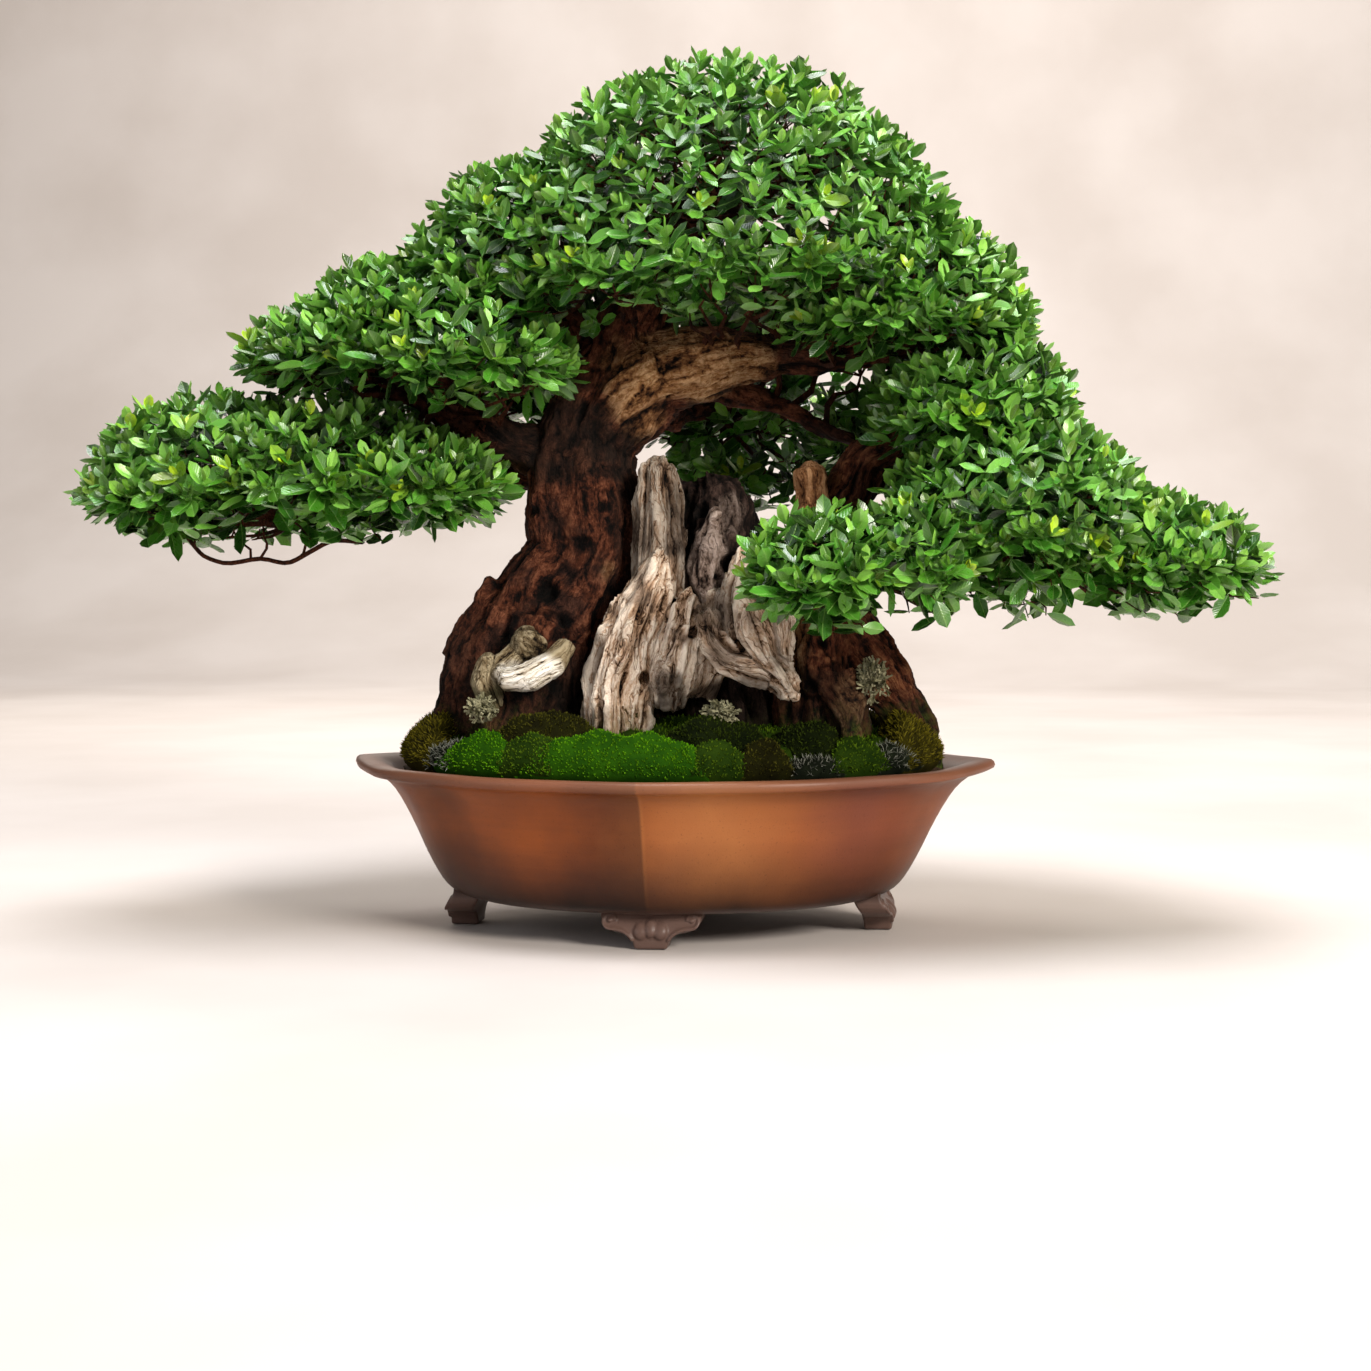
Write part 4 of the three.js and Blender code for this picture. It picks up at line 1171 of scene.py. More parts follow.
def trunk_zones(points: Array) -> tuple[Array, Array]:
    """Bare wood on the living trunk's diagonal limb and burl; painted shadow at its waist under the canopy
    and painted shade under its roots, in its big pit and beside the front deadwood.
    """
    pale = total(points, (0.8, (20, -30, 404), (66, 60, 30)), (0.6, (-20, -40, 378), (22, 50, 34)),
                 (0.75, (-34, -52, 250), (15, 26, 24)))
    shade_and_stain = total(points, (0.95, (-74, -20, 348), (60, 80, 34)), (0.6, (-96, -40, 356), (70, 60, 26)),
                  (0.75, (-84, -60, 176), (46, 50, 34)), (0.8, (-62, -50, 160), (30, 50, 50)),
                  (0.9, (-83, -60, 241), (11, 40, 9)), (0.6, (-30, -30, 300), (12, 40, 50)),
                  (0.6, (-152, -30, 160), (36, 60, 70)))
    return pale, shade_and_stain


def right_zones(points: Array) -> tuple[Array, Array]:
    """Bare wood on the right-hand trunk's upright stub and claw; painted shade round its foot."""
    pale = total(points, (0.5, (101, -24, 312), (17, 40, 50)), (0.7, (92, -30, 225), (14, 40, 60)),
                 (0.4, (131, -50, 160), (12, 24, 30)))
    shade_and_stain = total(points, (0.8, (112, -30, 160), (44, 50, 36)), (0.5, (150, -10, 300), (30, 50, 50)))
    return pale, shade_and_stain


def slab_zones(points: Array) -> tuple[Array, Array]:
    """Grey upper stub and the painted shade in the dark hollows of the front deadwood."""
    shade_and_stain = total(points, (0.75, (-4, -30, 318), (28, 40, 62)), (0.9, (12, -30, 288), (12, 40, 54)),
                  (0.9, (-21, -30, 274), (12, 40, 28)), (0.9, (9, -60, 176), (11, 40, 13)),
                  (0.9, (60, -60, 174), (30, 40, 10)), (0.8, (-46, -60, 196), (8, 40, 26)),
                  (0.9, (30, -40, 160), (46, 60, 16)), (0.5, (-26, -40, 270), (10, 30, 30)),
                  (0.7, (46, -30, 232), (13, 40, 34)), (0.5, (-32, -60, 118), (40, 40, 18)))
    return np.zeros(len(points)), shade_and_stain


def stump_zones(points: Array) -> tuple[Array, Array]:
    """Pale ear of the dark stump and the painted shade that blackens its foot."""
    pale = total(points, (0.75, (30, -40, 268), (15, 20, 40)), (0.35, (44, -30, 300), (14, 20, 18)))
    shade_and_stain = total(points, (0.8, (36, -20, 160), (60, 60, 70)), (0.6, (10, -20, 250), (16, 40, 60)),
                  (0.45, (44, -10, 290), (46, 60, 56)))
    return pale, shade_and_stain


def root_zones(points: Array) -> tuple[Array, Array]:
    """The worn hook is white, its knobs are brown and grey."""
    pale = total(points, (1, (-86, -84, 187), (32, 18, 15)))
    return pale, total(points, (0.5, (-106, -60, 205), (30, 14, 30)))


@dataclass(frozen=True)
class Pit:
    """A round hollow in the front of a trunk, with a raised rim: place and sizes in millimetres."""

    x: float
    z: float
    radius: float
    depth: float


@dataclass
class WoodPiece:
    """One grown piece of wood: the node's form remeshed finely and carved along its fibres."""

    node: str
    slot: str
    carving: Carving
    limbs: tuple[Limb, ...]
    voxel: float
    zones: Zones
    softening: int = 8
    kept_share: float = 0.4
    seed: int = 0
    pits: tuple[Pit, ...] = ()

    def fibre_places(self, points: Array) -> Array:
        """Finds where points lie along and across the fibres of their limb.

        Args:
            points: Places in layout millimetres.

        Returns:
            For each place its two offsets across the limb and its length along it, in millimetres.
        """
        best = np.full(len(points), np.inf)
        found = np.zeros((len(points), 3))
        for number, limb in enumerate(self.limbs):
            line, radii, lengths, across, beside = limb.lines()
            for i in range(len(line) - 1):
                span = line[i + 1] - line[i]
                share = np.clip((points - line[i]) @ span / float(span @ span), 0, 1)
                offset = points - (line[i] + share[:, None] * span)
                gap = np.linalg.norm(offset, axis=1) - (radii[i] + share * (radii[i + 1] - radii[i]))
                nearer = gap < best
                side = across[i] + share[:, None] * (across[i + 1] - across[i])
                other = beside[i] + share[:, None] * (beside[i + 1] - beside[i])
                along = lengths[i] + share * (lengths[i + 1] - lengths[i]) + 300 * number
                place = np.stack([(offset * side).sum(1), (offset * other).sum(1), along], 1)
                found = np.where(nearer[:, None], place, found)
                best = np.where(nearer, gap, best)
        sway = np.stack([cell_noise(points / 26 + 40 * axis, self.seed + axis) for axis in (0, 1)], 1)
        found[:, :2] += 5 * sway
        return found

    def relief(self, fibre: Array) -> tuple[Array, Array]:
        """Works out the carved relief.

        Args:
            fibre: Places along and across the fibres.

        Returns:
            How far each point stands out, in millimetres, and how hollow it lies, from 0 to 1.
        """
        height = np.zeros(len(fibre))
        hollow = np.zeros(len(fibre))
        # How much each feature darkens its grooves, partly darker wood and partly painted shade.
        darkening = {"lump": 0.06, "knob": 0.12, "strip": 0.3, "fine": 0.24, "crack": 0.55}
        for number, (kind, (depth, width, length)) in enumerate(self.carving.value.items()):
            at = fibre / np.array([width, width, length])
            if kind in ("lump", "knob"):
                wave = cell_noise(at, self.seed + number)
            elif kind == "crack":
                wave = -np.exp(-((cell_noise(at + 7.3, self.seed + number) / 0.12) ** 2))
            else:
                wave = ridges(at, self.seed + number)
            height += depth * wave
            hollow -= darkening[kind] * wave
        return height, np.clip(0.4 + hollow, 0, 1)

    def build(self, finishes: Finishes) -> None:
        """Remeshes, carves and dresses the piece."""
        piece = merged_copy(self.node, self.node + "_wood")
        modify(piece, "REMESH", mode="VOXEL", voxel_size=self.voxel * MM)
        modify(piece, "SMOOTH", factor=0.5, iterations=self.softening)
        points = points_of(piece)
        normals = points_of(piece, "normal")
        layout = (points - np.array(CENTRE)) / MM
        fibre = self.fibre_places(layout)
        height, hollow = self.relief(fibre)
        for pit in self.pits:
            reach = np.hypot(layout[:, 0] - pit.x, layout[:, 2] - pit.z) / pit.radius
            front = np.clip(-1.6 * normals[:, 1], 0, 1)
            height += front * pit.depth * (0.35 * np.exp(-((reach - 1.5) / 0.4) ** 2) - np.exp(-(reach ** 4)))
            # Darkens the inside of the pit as painted shade.
            hollow = np.clip(hollow + front * np.exp(-(reach ** 4)), 0, 1)
        move_points(piece, points + normals * height[:, None] * MM)
        pale, shade_and_stain = self.zones(layout)
        store(piece, "grain", fibre * MM)
        store(piece, "zones", np.stack([hollow, pale, shade_and_stain], 1))
        modify(piece, "DECIMATE", ratio=self.kept_share)
        soften(piece, 70)
        settle(piece, [self.node], finishes, self.slot)


TRUNK_LIMBS = (
    Limb(((-108, 6, 92, 66), (-106, 2, 150, 59), (-98, 0, 200, 55), (-80, 0, 240, 47),
          (-64, 0, 268, 42), (-66, 0, 300, 43),
          (-68, 0, 330, 38), (-60, 0, 362, 34), (-46, 0, 395, 30), (-34, 0, 430, 27),
          (-12, 0, 470, 21), (14, 0, 515, 13))),
    Limb(((-40, 18, 92, 52), (-34, 14, 150, 46), (-42, 8, 210, 36), (-58, 4, 250, 26))),
    Limb(((-112, -4, 238, 28), (-137, -12, 196, 29), (-151, -22, 150, 21), (-158, -26, 108, 14))),
    Limb(((-88, -30, 215, 26), (-100, -46, 175, 22), (-112, -56, 135, 17), (-118, -60, 105, 12))),
    Limb(((-92, 34, 200, 30), (-116, 62, 155, 23), (-132, 80, 108, 15))),
    Limb(((-55, 40, 185, 28), (-30, 68, 148, 20), (-18, 86, 108, 13))),
    Limb(((-58, 0, 352, 30), (-16, -2, 400, 33), (34, -4, 411, 24), (82, 0, 412, 15),
          (128, 2, 410, 11), (170, 0, 420, 8))),
    Limb(((-84, -2, 338, 22), (-122, -10, 352, 16), (-160, -20, 372, 12), (-205, -24, 392, 8))),
    Limb(((-80, 14, 325, 17), (-130, 20, 326, 12), (-190, 4, 312, 9), (-262, -18, 304, 6))),
    Limb(((-124, 20, 326, 9), (-168, 48, 324, 8), (-214, 70, 318, 6))),
    Limb(((-62, 12, 362, 18), (-88, 60, 384, 12), (-118, 100, 398, 8))),
    Limb(((-20, 14, 372, 15), (6, 62, 376, 10), (26, 104, 380, 7))),
    Limb(((-40, 0, 402, 18), (-66, -2, 430, 12), (-92, -4, 456, 8))),
    Limb(((10, -2, 392, 12), (46, 26, 386, 8), (80, 42, 378, 7), (108, 40, 360, 6), (132, 34, 352, 5))),
    Limb(((-24, -36, 250, 12), (-27, -40, 252, 11))),
)
RIGHT_LIMBS = (
    Limb(((112, 2, 92, 40), (110, -6, 140, 34), (105, -10, 190, 28), (104, -8, 235, 24),
          (112, -4, 275, 21), (126, 2, 310, 18),
          (142, 2, 338, 15), (172, -4, 356, 12), (205, -12, 366, 8))),
    Limb(((104, -14, 262, 17), (102, -18, 300, 15), (101, -19, 328, 12))),
    Limb(((124, 4, 215, 24), (152, 8, 176, 21), (176, 12, 142, 16), (183, 12, 108, 9))),
    Limb(((122, -28, 178, 16), (131, -44, 158, 11), (134, -54, 138, 5))),
    Limb(((110, 24, 180, 22), (122, 58, 145, 16), (126, 74, 106, 10))),
    Limb(((112, -8, 268, 14), (156, -28, 276, 11), (208, -50, 270, 8), (268, -52, 262, 6))),
    Limb(((108, -16, 246, 11), (116, -66, 254, 8), (122, -108, 258, 6))),
    Limb(((124, 10, 306, 13), (152, 62, 328, 9), (176, 98, 342, 7))),
    Limb(((118, 8, 284, 12), (170, 40, 290, 9), (232, 62, 284, 6))),
)
FRONT_DEAD_LIMBS = (
    Limb(((-32, -56, 104, 23), (-31, -58, 160, 23), (-22, -56, 205, 21), (-9, -52, 245, 14),
          (-2, -48, 268, 5))),
    Limb(((4, -53, 164, 13), (7, -56, 182, 19), (13, -54, 210, 16), (19, -48, 240, 6))),
    Limb(((24, -44, 168, 13), (30, -46, 190, 16), (34, -42, 215, 11), (37, -38, 238, 5))),
    Limb(((59, -40, 271, 5), (57, -44, 246, 13), (62, -48, 216, 18), (72, -51, 194, 14),
          (86, -54, 180, 10), (94, -56, 171, 5))),
    Limb(((30, -50, 226, 8), (36, -52, 208, 12), (48, -53, 195, 13), (66, -54, 188, 12), (82, -54, 184, 9))),
    Limb(((84, -38, 240, 4), (84, -42, 220, 9), (82, -46, 195, 10))),
    Limb(((-4, -30, 240, 18), (-5, -28, 300, 16), (-6, -26, 330, 13))),
)
BACK_DEAD_LIMBS = (
    Limb(((40, 0, 96, 40), (38, -2, 160, 34), (35, -4, 220, 31), (33, -2, 270, 31), (34, 2, 300, 26),
          (28, 4, 322, 17))),
    Limb(((30, -24, 222, 12), (27, -32, 250, 14), (32, -34, 280, 10), (36, -34, 297, 4))),
    Limb(((2, 8, 140, 24), (0, 8, 220, 22), (2, 8, 285, 20), (6, 6, 320, 13))),
)
WORN_ROOT_LIMBS = (
    Limb(((-66, -58, 205, 7), (-73, -72, 192, 10), (-87, -80, 183, 11), (-103, -80, 181, 9),
          (-113, -74, 187, 5))),
    Limb(((-92, -48, 200, 12), (-93, -62, 206, 13), (-94, -68, 214, 9))),
    Limb(((-116, -58, 160, 12), (-121, -66, 180, 13), (-119, -66, 196, 8))),
    Limb(((-94, -58, 206, 8), (-104, -66, 196, 9), (-117, -66, 186, 8))),
)


@dataclass
class OldWood:
    """All the wood: the living trunk, the right-hand trunk, two pieces of deadwood and the worn root."""

    pieces: tuple[WoodPiece, ...] = (
        WoodPiece("live_trunk", "bark", Carving.BARK, TRUNK_LIMBS, 1.9, trunk_zones, seed=3,
                  pits=(Pit(-83, 241, 7, 6), Pit(-58, 276, 6, 4), Pit(-96, 300, 4, 3), Pit(-44, 302, 4, 3),
                        Pit(-70, 222, 5, 3), Pit(-110, 210, 5, 3))),
        WoodPiece("right_trunk", "right_bark", Carving.BARK, RIGHT_LIMBS, 1.8, right_zones, seed=11,
                  pits=(Pit(112, 206, 4, 3), Pit(104, 176, 4, 3))),
        WoodPiece("deadwood_front", "deadwood", Carving.FLUTED, FRONT_DEAD_LIMBS, 1.2, slab_zones, 3, seed=19,
                  pits=(Pit(-10, 182, 4, 4), Pit(24, 214, 4, 4))),
        WoodPiece("deadwood_back", "dark_deadwood", Carving.ROUGH, BACK_DEAD_LIMBS, 1.8, stump_zones, 4,
                  seed=27, pits=(Pit(46, 262, 6, 6), Pit(24, 300, 5, 5))),
        WoodPiece("worn_root", "worn_root", Carving.WORN, WORN_ROOT_LIMBS, 1.3, root_zones, 6, seed=35),
    )

    def build(self, finishes: Finishes) -> None:
        """Builds each piece."""
        for piece in self.pieces:
            piece.build(finishes)


# Foliage


@dataclass(frozen=True)
class Blob:
    """One swelling of a foliage pad: an ellipsoid with its own height above and below its middle."""

    x: float
    y: float
    z: float
    half_width: float
    half_depth: float
    above: float
    below: float
    cover: float = 1

    def spread(self, directions: Array) -> Array:
        """Half sizes of the ellipsoid towards each direction."""
        height = np.where(directions[:, 2] > 0, self.above, self.below)
        wide = np.full(len(height), self.half_width)
        deep = np.full(len(height), self.half_depth)
        return np.stack([wide, deep, height], 1)

    def surface(self, directions: Array) -> tuple[Array, Array]:
        """Gives places on the surface and the way that they face."""
        spread = self.spread(directions)
        return directions * spread + np.array([self.x, self.y, self.z]), unit(directions / spread)

    def depth_of(self, points: Array) -> Array:
        """Gives 0 in the blob's middle, 1 on its surface and more outside."""
        offset = points - np.array([self.x, self.y, self.z])
        return np.linalg.norm(offset / self.spread(offset), axis=1)

    def area(self) -> float:
        """Rough area of the surface in square millimetres."""
        height = (self.above + self.below) / 2
        power = 1.6
        a, b, c = self.half_width ** power, self.half_depth ** power, height ** power
        return 4 * math.pi * ((a * b + a * c + b * c) / 3) ** (1 / power)


PADS: dict[str, tuple[Blob, ...]] = {
    "crown_foliage": (Blob(40, -8, 460, 172, 166, 170, 32),),
    "crown_right_foliage": (Blob(168, 4, 430, 98, 135, 94, 30),),
    "crown_left_foliage": (Blob(-86, 0, 456, 112, 128, 110, 36),),
    "left_upper_foliage": (Blob(-212, -18, 410, 96, 112, 54, 38), Blob(-132, -72, 404, 78, 88, 66, 34),
                           Blob(-192, -20, 430, 76, 100, 60, 34)),
    "left_lower_foliage": (Blob(-326, -30, 312, 99, 104, 80, 40), Blob(-236, -40, 318, 98, 106, 68, 44),
                           Blob(-165, -60, 318, 58, 84, 42, 36)),
    "right_upper_foliage": (Blob(222, -16, 364, 76, 112, 70, 36),),
    "right_lower_foliage": (Blob(248, -62, 290, 100, 108, 82, 68), Blob(340, -34, 264, 86, 96, 54, 40)),
    "right_front_foliage": (Blob(124, -142, 258, 62, 60, 48, 44), Blob(186, -132, 268, 50, 50, 44, 44)),
    "back_centre_foliage": (Blob(40, 150, 378, 96, 82, 60, 44, 0.48),
                            Blob(54, 140, 342, 82, 60, 40, 42, 0.5)),
    "back_left_foliage": (Blob(-150, 122, 402, 106, 92, 58, 34),),
    "back_right_foliage": (Blob(196, 118, 356, 104, 88, 62, 40),),
    "back_left_low_foliage": (Blob(-240, 82, 322, 96, 80, 56, 36),),
    "back_right_low_foliage": (Blob(270, 70, 286, 84, 78, 46, 38),),
}


@dataclass
class LeafBlade:
    """One leaf of length 1: a pointed oval folded along its rib, modelled once and then copied."""

    stations: tuple[float, ...] = (0, 0.22, 0.5, 0.8, 1)
    half_widths: tuple[float, ...] = (0, 0.19, 0.275, 0.21, 0)
    fold: float = 0.085
    droop: float = 0.12
    thickness: float = 0.02
    points: Array = field(init=False)
    faces: Array = field(init=False)

    def __post_init__(self) -> None:
        """Models the blade from a grid that is extruded to a thin slab and closed along its edge."""
        cells = len(self.stations) - 1
        deselect()
        bpy.ops.mesh.primitive_grid_add(x_subdivisions=cells, y_subdivisions=2, size=1)
        blade = named("leaf_pattern")
        edit_all()
        bpy.ops.mesh.extrude_region_move(TRANSFORM_OT_translate={"value": (0, 0, -self.thickness)})
        bpy.ops.object.mode_set(mode="OBJECT")
        points = points_of(blade)
        station = np.rint((points[:, 0] + 0.5) * cells).astype(int)
        side = np.rint(points[:, 1] * 2)
        below = points[:, 2] < -self.thickness / 2
        rim = (np.abs(side) > 0.5) | (station == 0) | (station == cells)
        along = np.array(self.stations)[station]
        across = side * np.array(self.half_widths)[station]
        height = self.fold * (np.abs(side) - 1) * (np.array(self.half_widths)[station] > 0)
        height = height - self.droop * along ** 2 - np.where(below & ~rim, self.thickness, 0)
        move_points(blade, np.stack([along, across, height], 1))
        clean(blade, 1e-4)
        edit_all()
        bpy.ops.mesh.quads_convert_to_tris()
        bpy.ops.object.mode_set(mode="OBJECT")
        self.points = points_of(blade)
        self.faces = np.array([tuple(polygon.vertices) for polygon in blade.data.polygons])
        bpy.data.objects.remove(blade)

    def places(self) -> Array:
        """Where each point lies along the blade and, from 0 to 1, across it."""
        width = np.interp(self.points[:, 0], self.stations, self.half_widths)
        across = np.where(width > 1e-4, self.points[:, 1] / np.maximum(width, 1e-4), 0)
        return np.stack([self.points[:, 0], 0.5 + across / 2], 1)

    def underside(self) -> Array:
        """1 on the rib of the lower face and 0 elsewhere."""
        width = np.interp(self.points[:, 0], self.stations, self.half_widths)
        middle = (np.abs(self.points[:, 1]) < 1e-4) & (width > 1e-4)
        level = -self.fold - self.droop * self.points[:, 0] ** 2 - self.thickness / 2
        return (middle & (self.points[:, 2] < level)).astype(float)


@dataclass(frozen=True)
class LeafPair:
    """Two opposite leaves on a shoot: place along it, leaf length, lean in degrees, youth."""

    place: float
    length: float
    lean: float
    youth: float = 0


@dataclass
class Sprig:
    """A short shoot with leaves in opposite pairs, each turned a quarter against the last."""

    blade: LeafBlade
    length: float
    pairs: tuple[LeafPair, ...]

    def faces(self) -> Array:
        """Triangles of the whole sprig."""
        starts = len(self.blade.points) * np.arange(2 * len(self.pairs))
        return (self.blade.faces[None] + starts[:, None, None]).reshape(-1, 3)

    def cloud(self, draw: np.random.Generator) -> tuple[Array, Array, Array]:
        """Copies the blade to each place on the shoot.

        Args:
            draw: Random draws that vary the leaves a little.

        Returns:
            Points, marks and blade places of the sprig, leaf by leaf, with the shoot along +Z.
        """
        points, marks, places = [], [], []
        for number, pair in enumerate(self.pairs):
            for side in (0, 1):
                turn = math.pi * side + math.pi / 2 * number + draw.normal(0, 0.2)
                lean = math.radians(pair.lean + draw.normal(0, 11))
                out = np.array([math.cos(turn), math.sin(turn), 0])
                along = math.sin(lean) * out + math.cos(lean) * UP
                face = math.sin(lean) * UP - math.cos(lean) * out
                across = np.cross(face, along)
                roll = draw.normal(0, 0.34)
                rolled = across * math.cos(roll) + face * math.sin(roll)
                face = face * math.cos(roll) - across * math.sin(roll)
                size = pair.length * (1 + draw.normal(0, 0.12)) * MM
                wide = 1 + draw.normal(0, 0.1)
                basis = np.stack([along, rolled * wide, face]) * size
                points.append(self.blade.points @ basis + UP * pair.place * self.length * MM)
                tone = np.full(len(self.blade.points), np.clip(0.58 + draw.normal(0, 0.22), 0.22, 1))
                youth = np.full(len(self.blade.points), pair.youth * draw.uniform(0.6, 1.1))
                marks.append(np.stack([tone, youth, self.blade.underside()], 1))
                places.append(self.blade.places())
        return np.concatenate(points), np.concatenate(marks), np.concatenate(places)


def turned_copies(shape: Array, axes: Array, draw: np.random.Generator) -> Array:
    """Copies a shape once for each axis, with +Z along the axis and a random turn about it.

    Args:
        shape: The shape's points.
        axes: Directions of length one.
        draw: Random draws for the turns.

    Returns:
        Copies by points by 3.
    """
    start = unit(np.cross(axes, unit(draw.normal(0, 1, axes.shape))))
    basis = np.stack([start, np.cross(axes, start), axes], 1)
    return np.einsum("pi,nij->npj", shape, basis)


@dataclass(frozen=True)
class Layer:
    """One layer of sprigs in a pad: its share of the pad's size and the area that one sprig covers."""

    share: float
    area: float
    inner: bool


@dataclass
class Canopy:
    """Foliage pads of small opposite leaves over a net of twigs."""

    variants: int = 6
    seed: int = 5
    outer_pairs: tuple[LeafPair, ...] = (
        LeafPair(0.12, 18, 72), LeafPair(0.5, 20, 57, 0.05),
        LeafPair(0.8, 17, 41, 0.3), LeafPair(1, 10.5, 20, 0.9),
    )
    inner_pairs: tuple[LeafPair, ...] = (LeafPair(0.1, 20, 76), LeafPair(0.5, 22, 60), LeafPair(0.9, 20, 40))
    shoot_length: float = 19
    layers: tuple[Layer, ...] = (Layer(1, 452, False), Layer(0.87, 860, True), Layer(0.7, 1700, True))
    underside_share: float = 0.6
    swell: float = 0.035
    swell_width: float = 34
    unevenness: float = 0.04
    unruly: float = 0.24
    overlap: float = 0.9
    fresh_share: float = 0.09
    crown_scale: float = 0.9
    back_scale: float = 1.12
    # How far the inner layers' leaves are darkened as painted shade, in front and in the back pads.
    shade: float = 2.2
    back_shade: float = 0.9

    def sites(self, blob: Blob, layer: Layer, others: Sequence[Blob], scale: float,
              draw: np.random.Generator) -> tuple[Array, Array]:
        """Chooses where sprigs grow on one layer of a blob.

        Args:
            blob: The blob.
            layer: The layer.
            others: All other blobs, which hide what lies inside them.
            scale: Size of the pad's sprigs.
            draw: Random draws.

        Returns:
            Places of the sprigs' tips in layout millimetres and the directions that they grow in.
        """
        count = int(blob.area() * layer.share ** 2 / (layer.area * scale ** 2))
        directions = unit(ball_directions(count) + draw.normal(0, 0.6 / math.sqrt(count), (count, 3)))
        places, faces = blob.surface(directions)
        middle = np.array([blob.x, blob.y, blob.z])
        swell = 1 + self.swell * cell_noise(places / self.swell_width, 91)[:, None]
        shrink = 1 - self.unevenness * draw.random((count, 1))
        places = middle + (places - middle) * (layer.share * swell * shrink)
        lift = 0.5 + 0.3 * smooth_step(faces[:, 2:], -0.3, 0.5)
        level = faces * np.where(faces[:, 2:] < 0, np.array([1, 1, 0.25]), 1)
        way = unit(0.8 * level + lift * UP + draw.normal(0, self.unruly, (count, 3)))
        hanging = np.clip(-faces[:, 2:], 0, 0.8)
        places += (12 + 24 * np.clip(way[:, 2:], 0, 1)) * hanging * UP
        keep = (faces[:, 2] > -0.4) | (draw.random(count) < self.underside_share)
        keep &= draw.random(count) < blob.cover
        for other in others:
            keep &= other.depth_of(places) > self.overlap * layer.share
        return places[keep], way[keep]

    def grow_pad(self, name: str, draw: np.random.Generator, kinds: dict[bool, tuple]) -> tuple:
        """Grows one pad.

        Args:
            name: The pad's node.
            draw: Random draws.
            kinds: For inner and outer sprigs their clouds and triangles.

        Returns:
            The pad's object and the places where its sprigs start.
        """
        everything = [blob for blobs in PADS.values() for blob in blobs]
        behind = name.startswith("back")
        scale = self.crown_scale if name.startswith("crown") else self.back_scale if behind else 1
        shade = self.back_shade if behind else self.shade
        parts = MeshParts()
        starts = []
        for blob, layer in product(PADS[name], self.layers):
            others = [other for other in everything if other is not blob]
            tips, ways = self.sites(blob, layer, others, scale, draw)
            if not len(tips):
                continue
            sizes = scale * draw.uniform(0.84, 1.16, (len(tips), 1))
            roots = tips - ways * sizes * (self.shoot_length + 10)
            starts.append(roots)
            clouds, faces = kinds[layer.inner]
            chosen_kind = draw.integers(0, len(clouds), len(tips))
            for kind, (points, marks, places) in enumerate(clouds):
                chosen = chosen_kind == kind
                if not chosen.any():
                    continue
                turned = turned_copies(points, ways[chosen], draw)
                copies = turned * sizes[chosen][:, None] + placed(roots[chosen])[:, None]
                many = len(copies)
                copy_marks = np.repeat(marks[None], many, 0)
                # Painted shade: deeper layers get darker tones.
                tone = draw.normal(0, 0.09, (many, 1)) - shade * (1 - layer.share)
                copy_marks[..., 0] = np.clip(copy_marks[..., 0] + tone, 0, 1)
                fresh = draw.random((many, 1)) < self.fresh_share * (layer.share > 0.9)
                copy_marks[..., 1] = np.clip(copy_marks[..., 1] * np.where(fresh, 1, 0.16), 0, 1)
                parts.add(copies, faces, copy_marks, np.repeat(places[None], many, 0))
        return parts.build(name.replace("foliage", "leaves")), np.concatenate(starts)

    def build(self, finishes: Finishes) -> None:
        """Grows all pads and the twigs that carry them."""
        draw = np.random.default_rng(self.seed)
        outer = Sprig(LeafBlade(), self.shoot_length, self.outer_pairs)
        simple = LeafBlade((0, 0.33, 0.72, 1), (0, 0.25, 0.24, 0))
        inner = Sprig(simple, self.shoot_length, self.inner_pairs)
        kinds = {flag: ([sprig.cloud(draw) for _ in range(self.variants)], sprig.faces())
                 for flag, sprig in ((False, outer), (True, inner))}
        starts = {}
        for name in PADS:
            piece, starts[name] = self.grow_pad(name, draw, kinds)
            settle(piece, [name], finishes, "leaf")
        TwigNet().build(finishes, starts)


def nearest(places: Array, targets: Array) -> Array:
    """Gives for each place the number of the target that is nearest to it."""
    return np.argmin(np.linalg.norm(places[:, None] - targets[None], axis=2), axis=1)


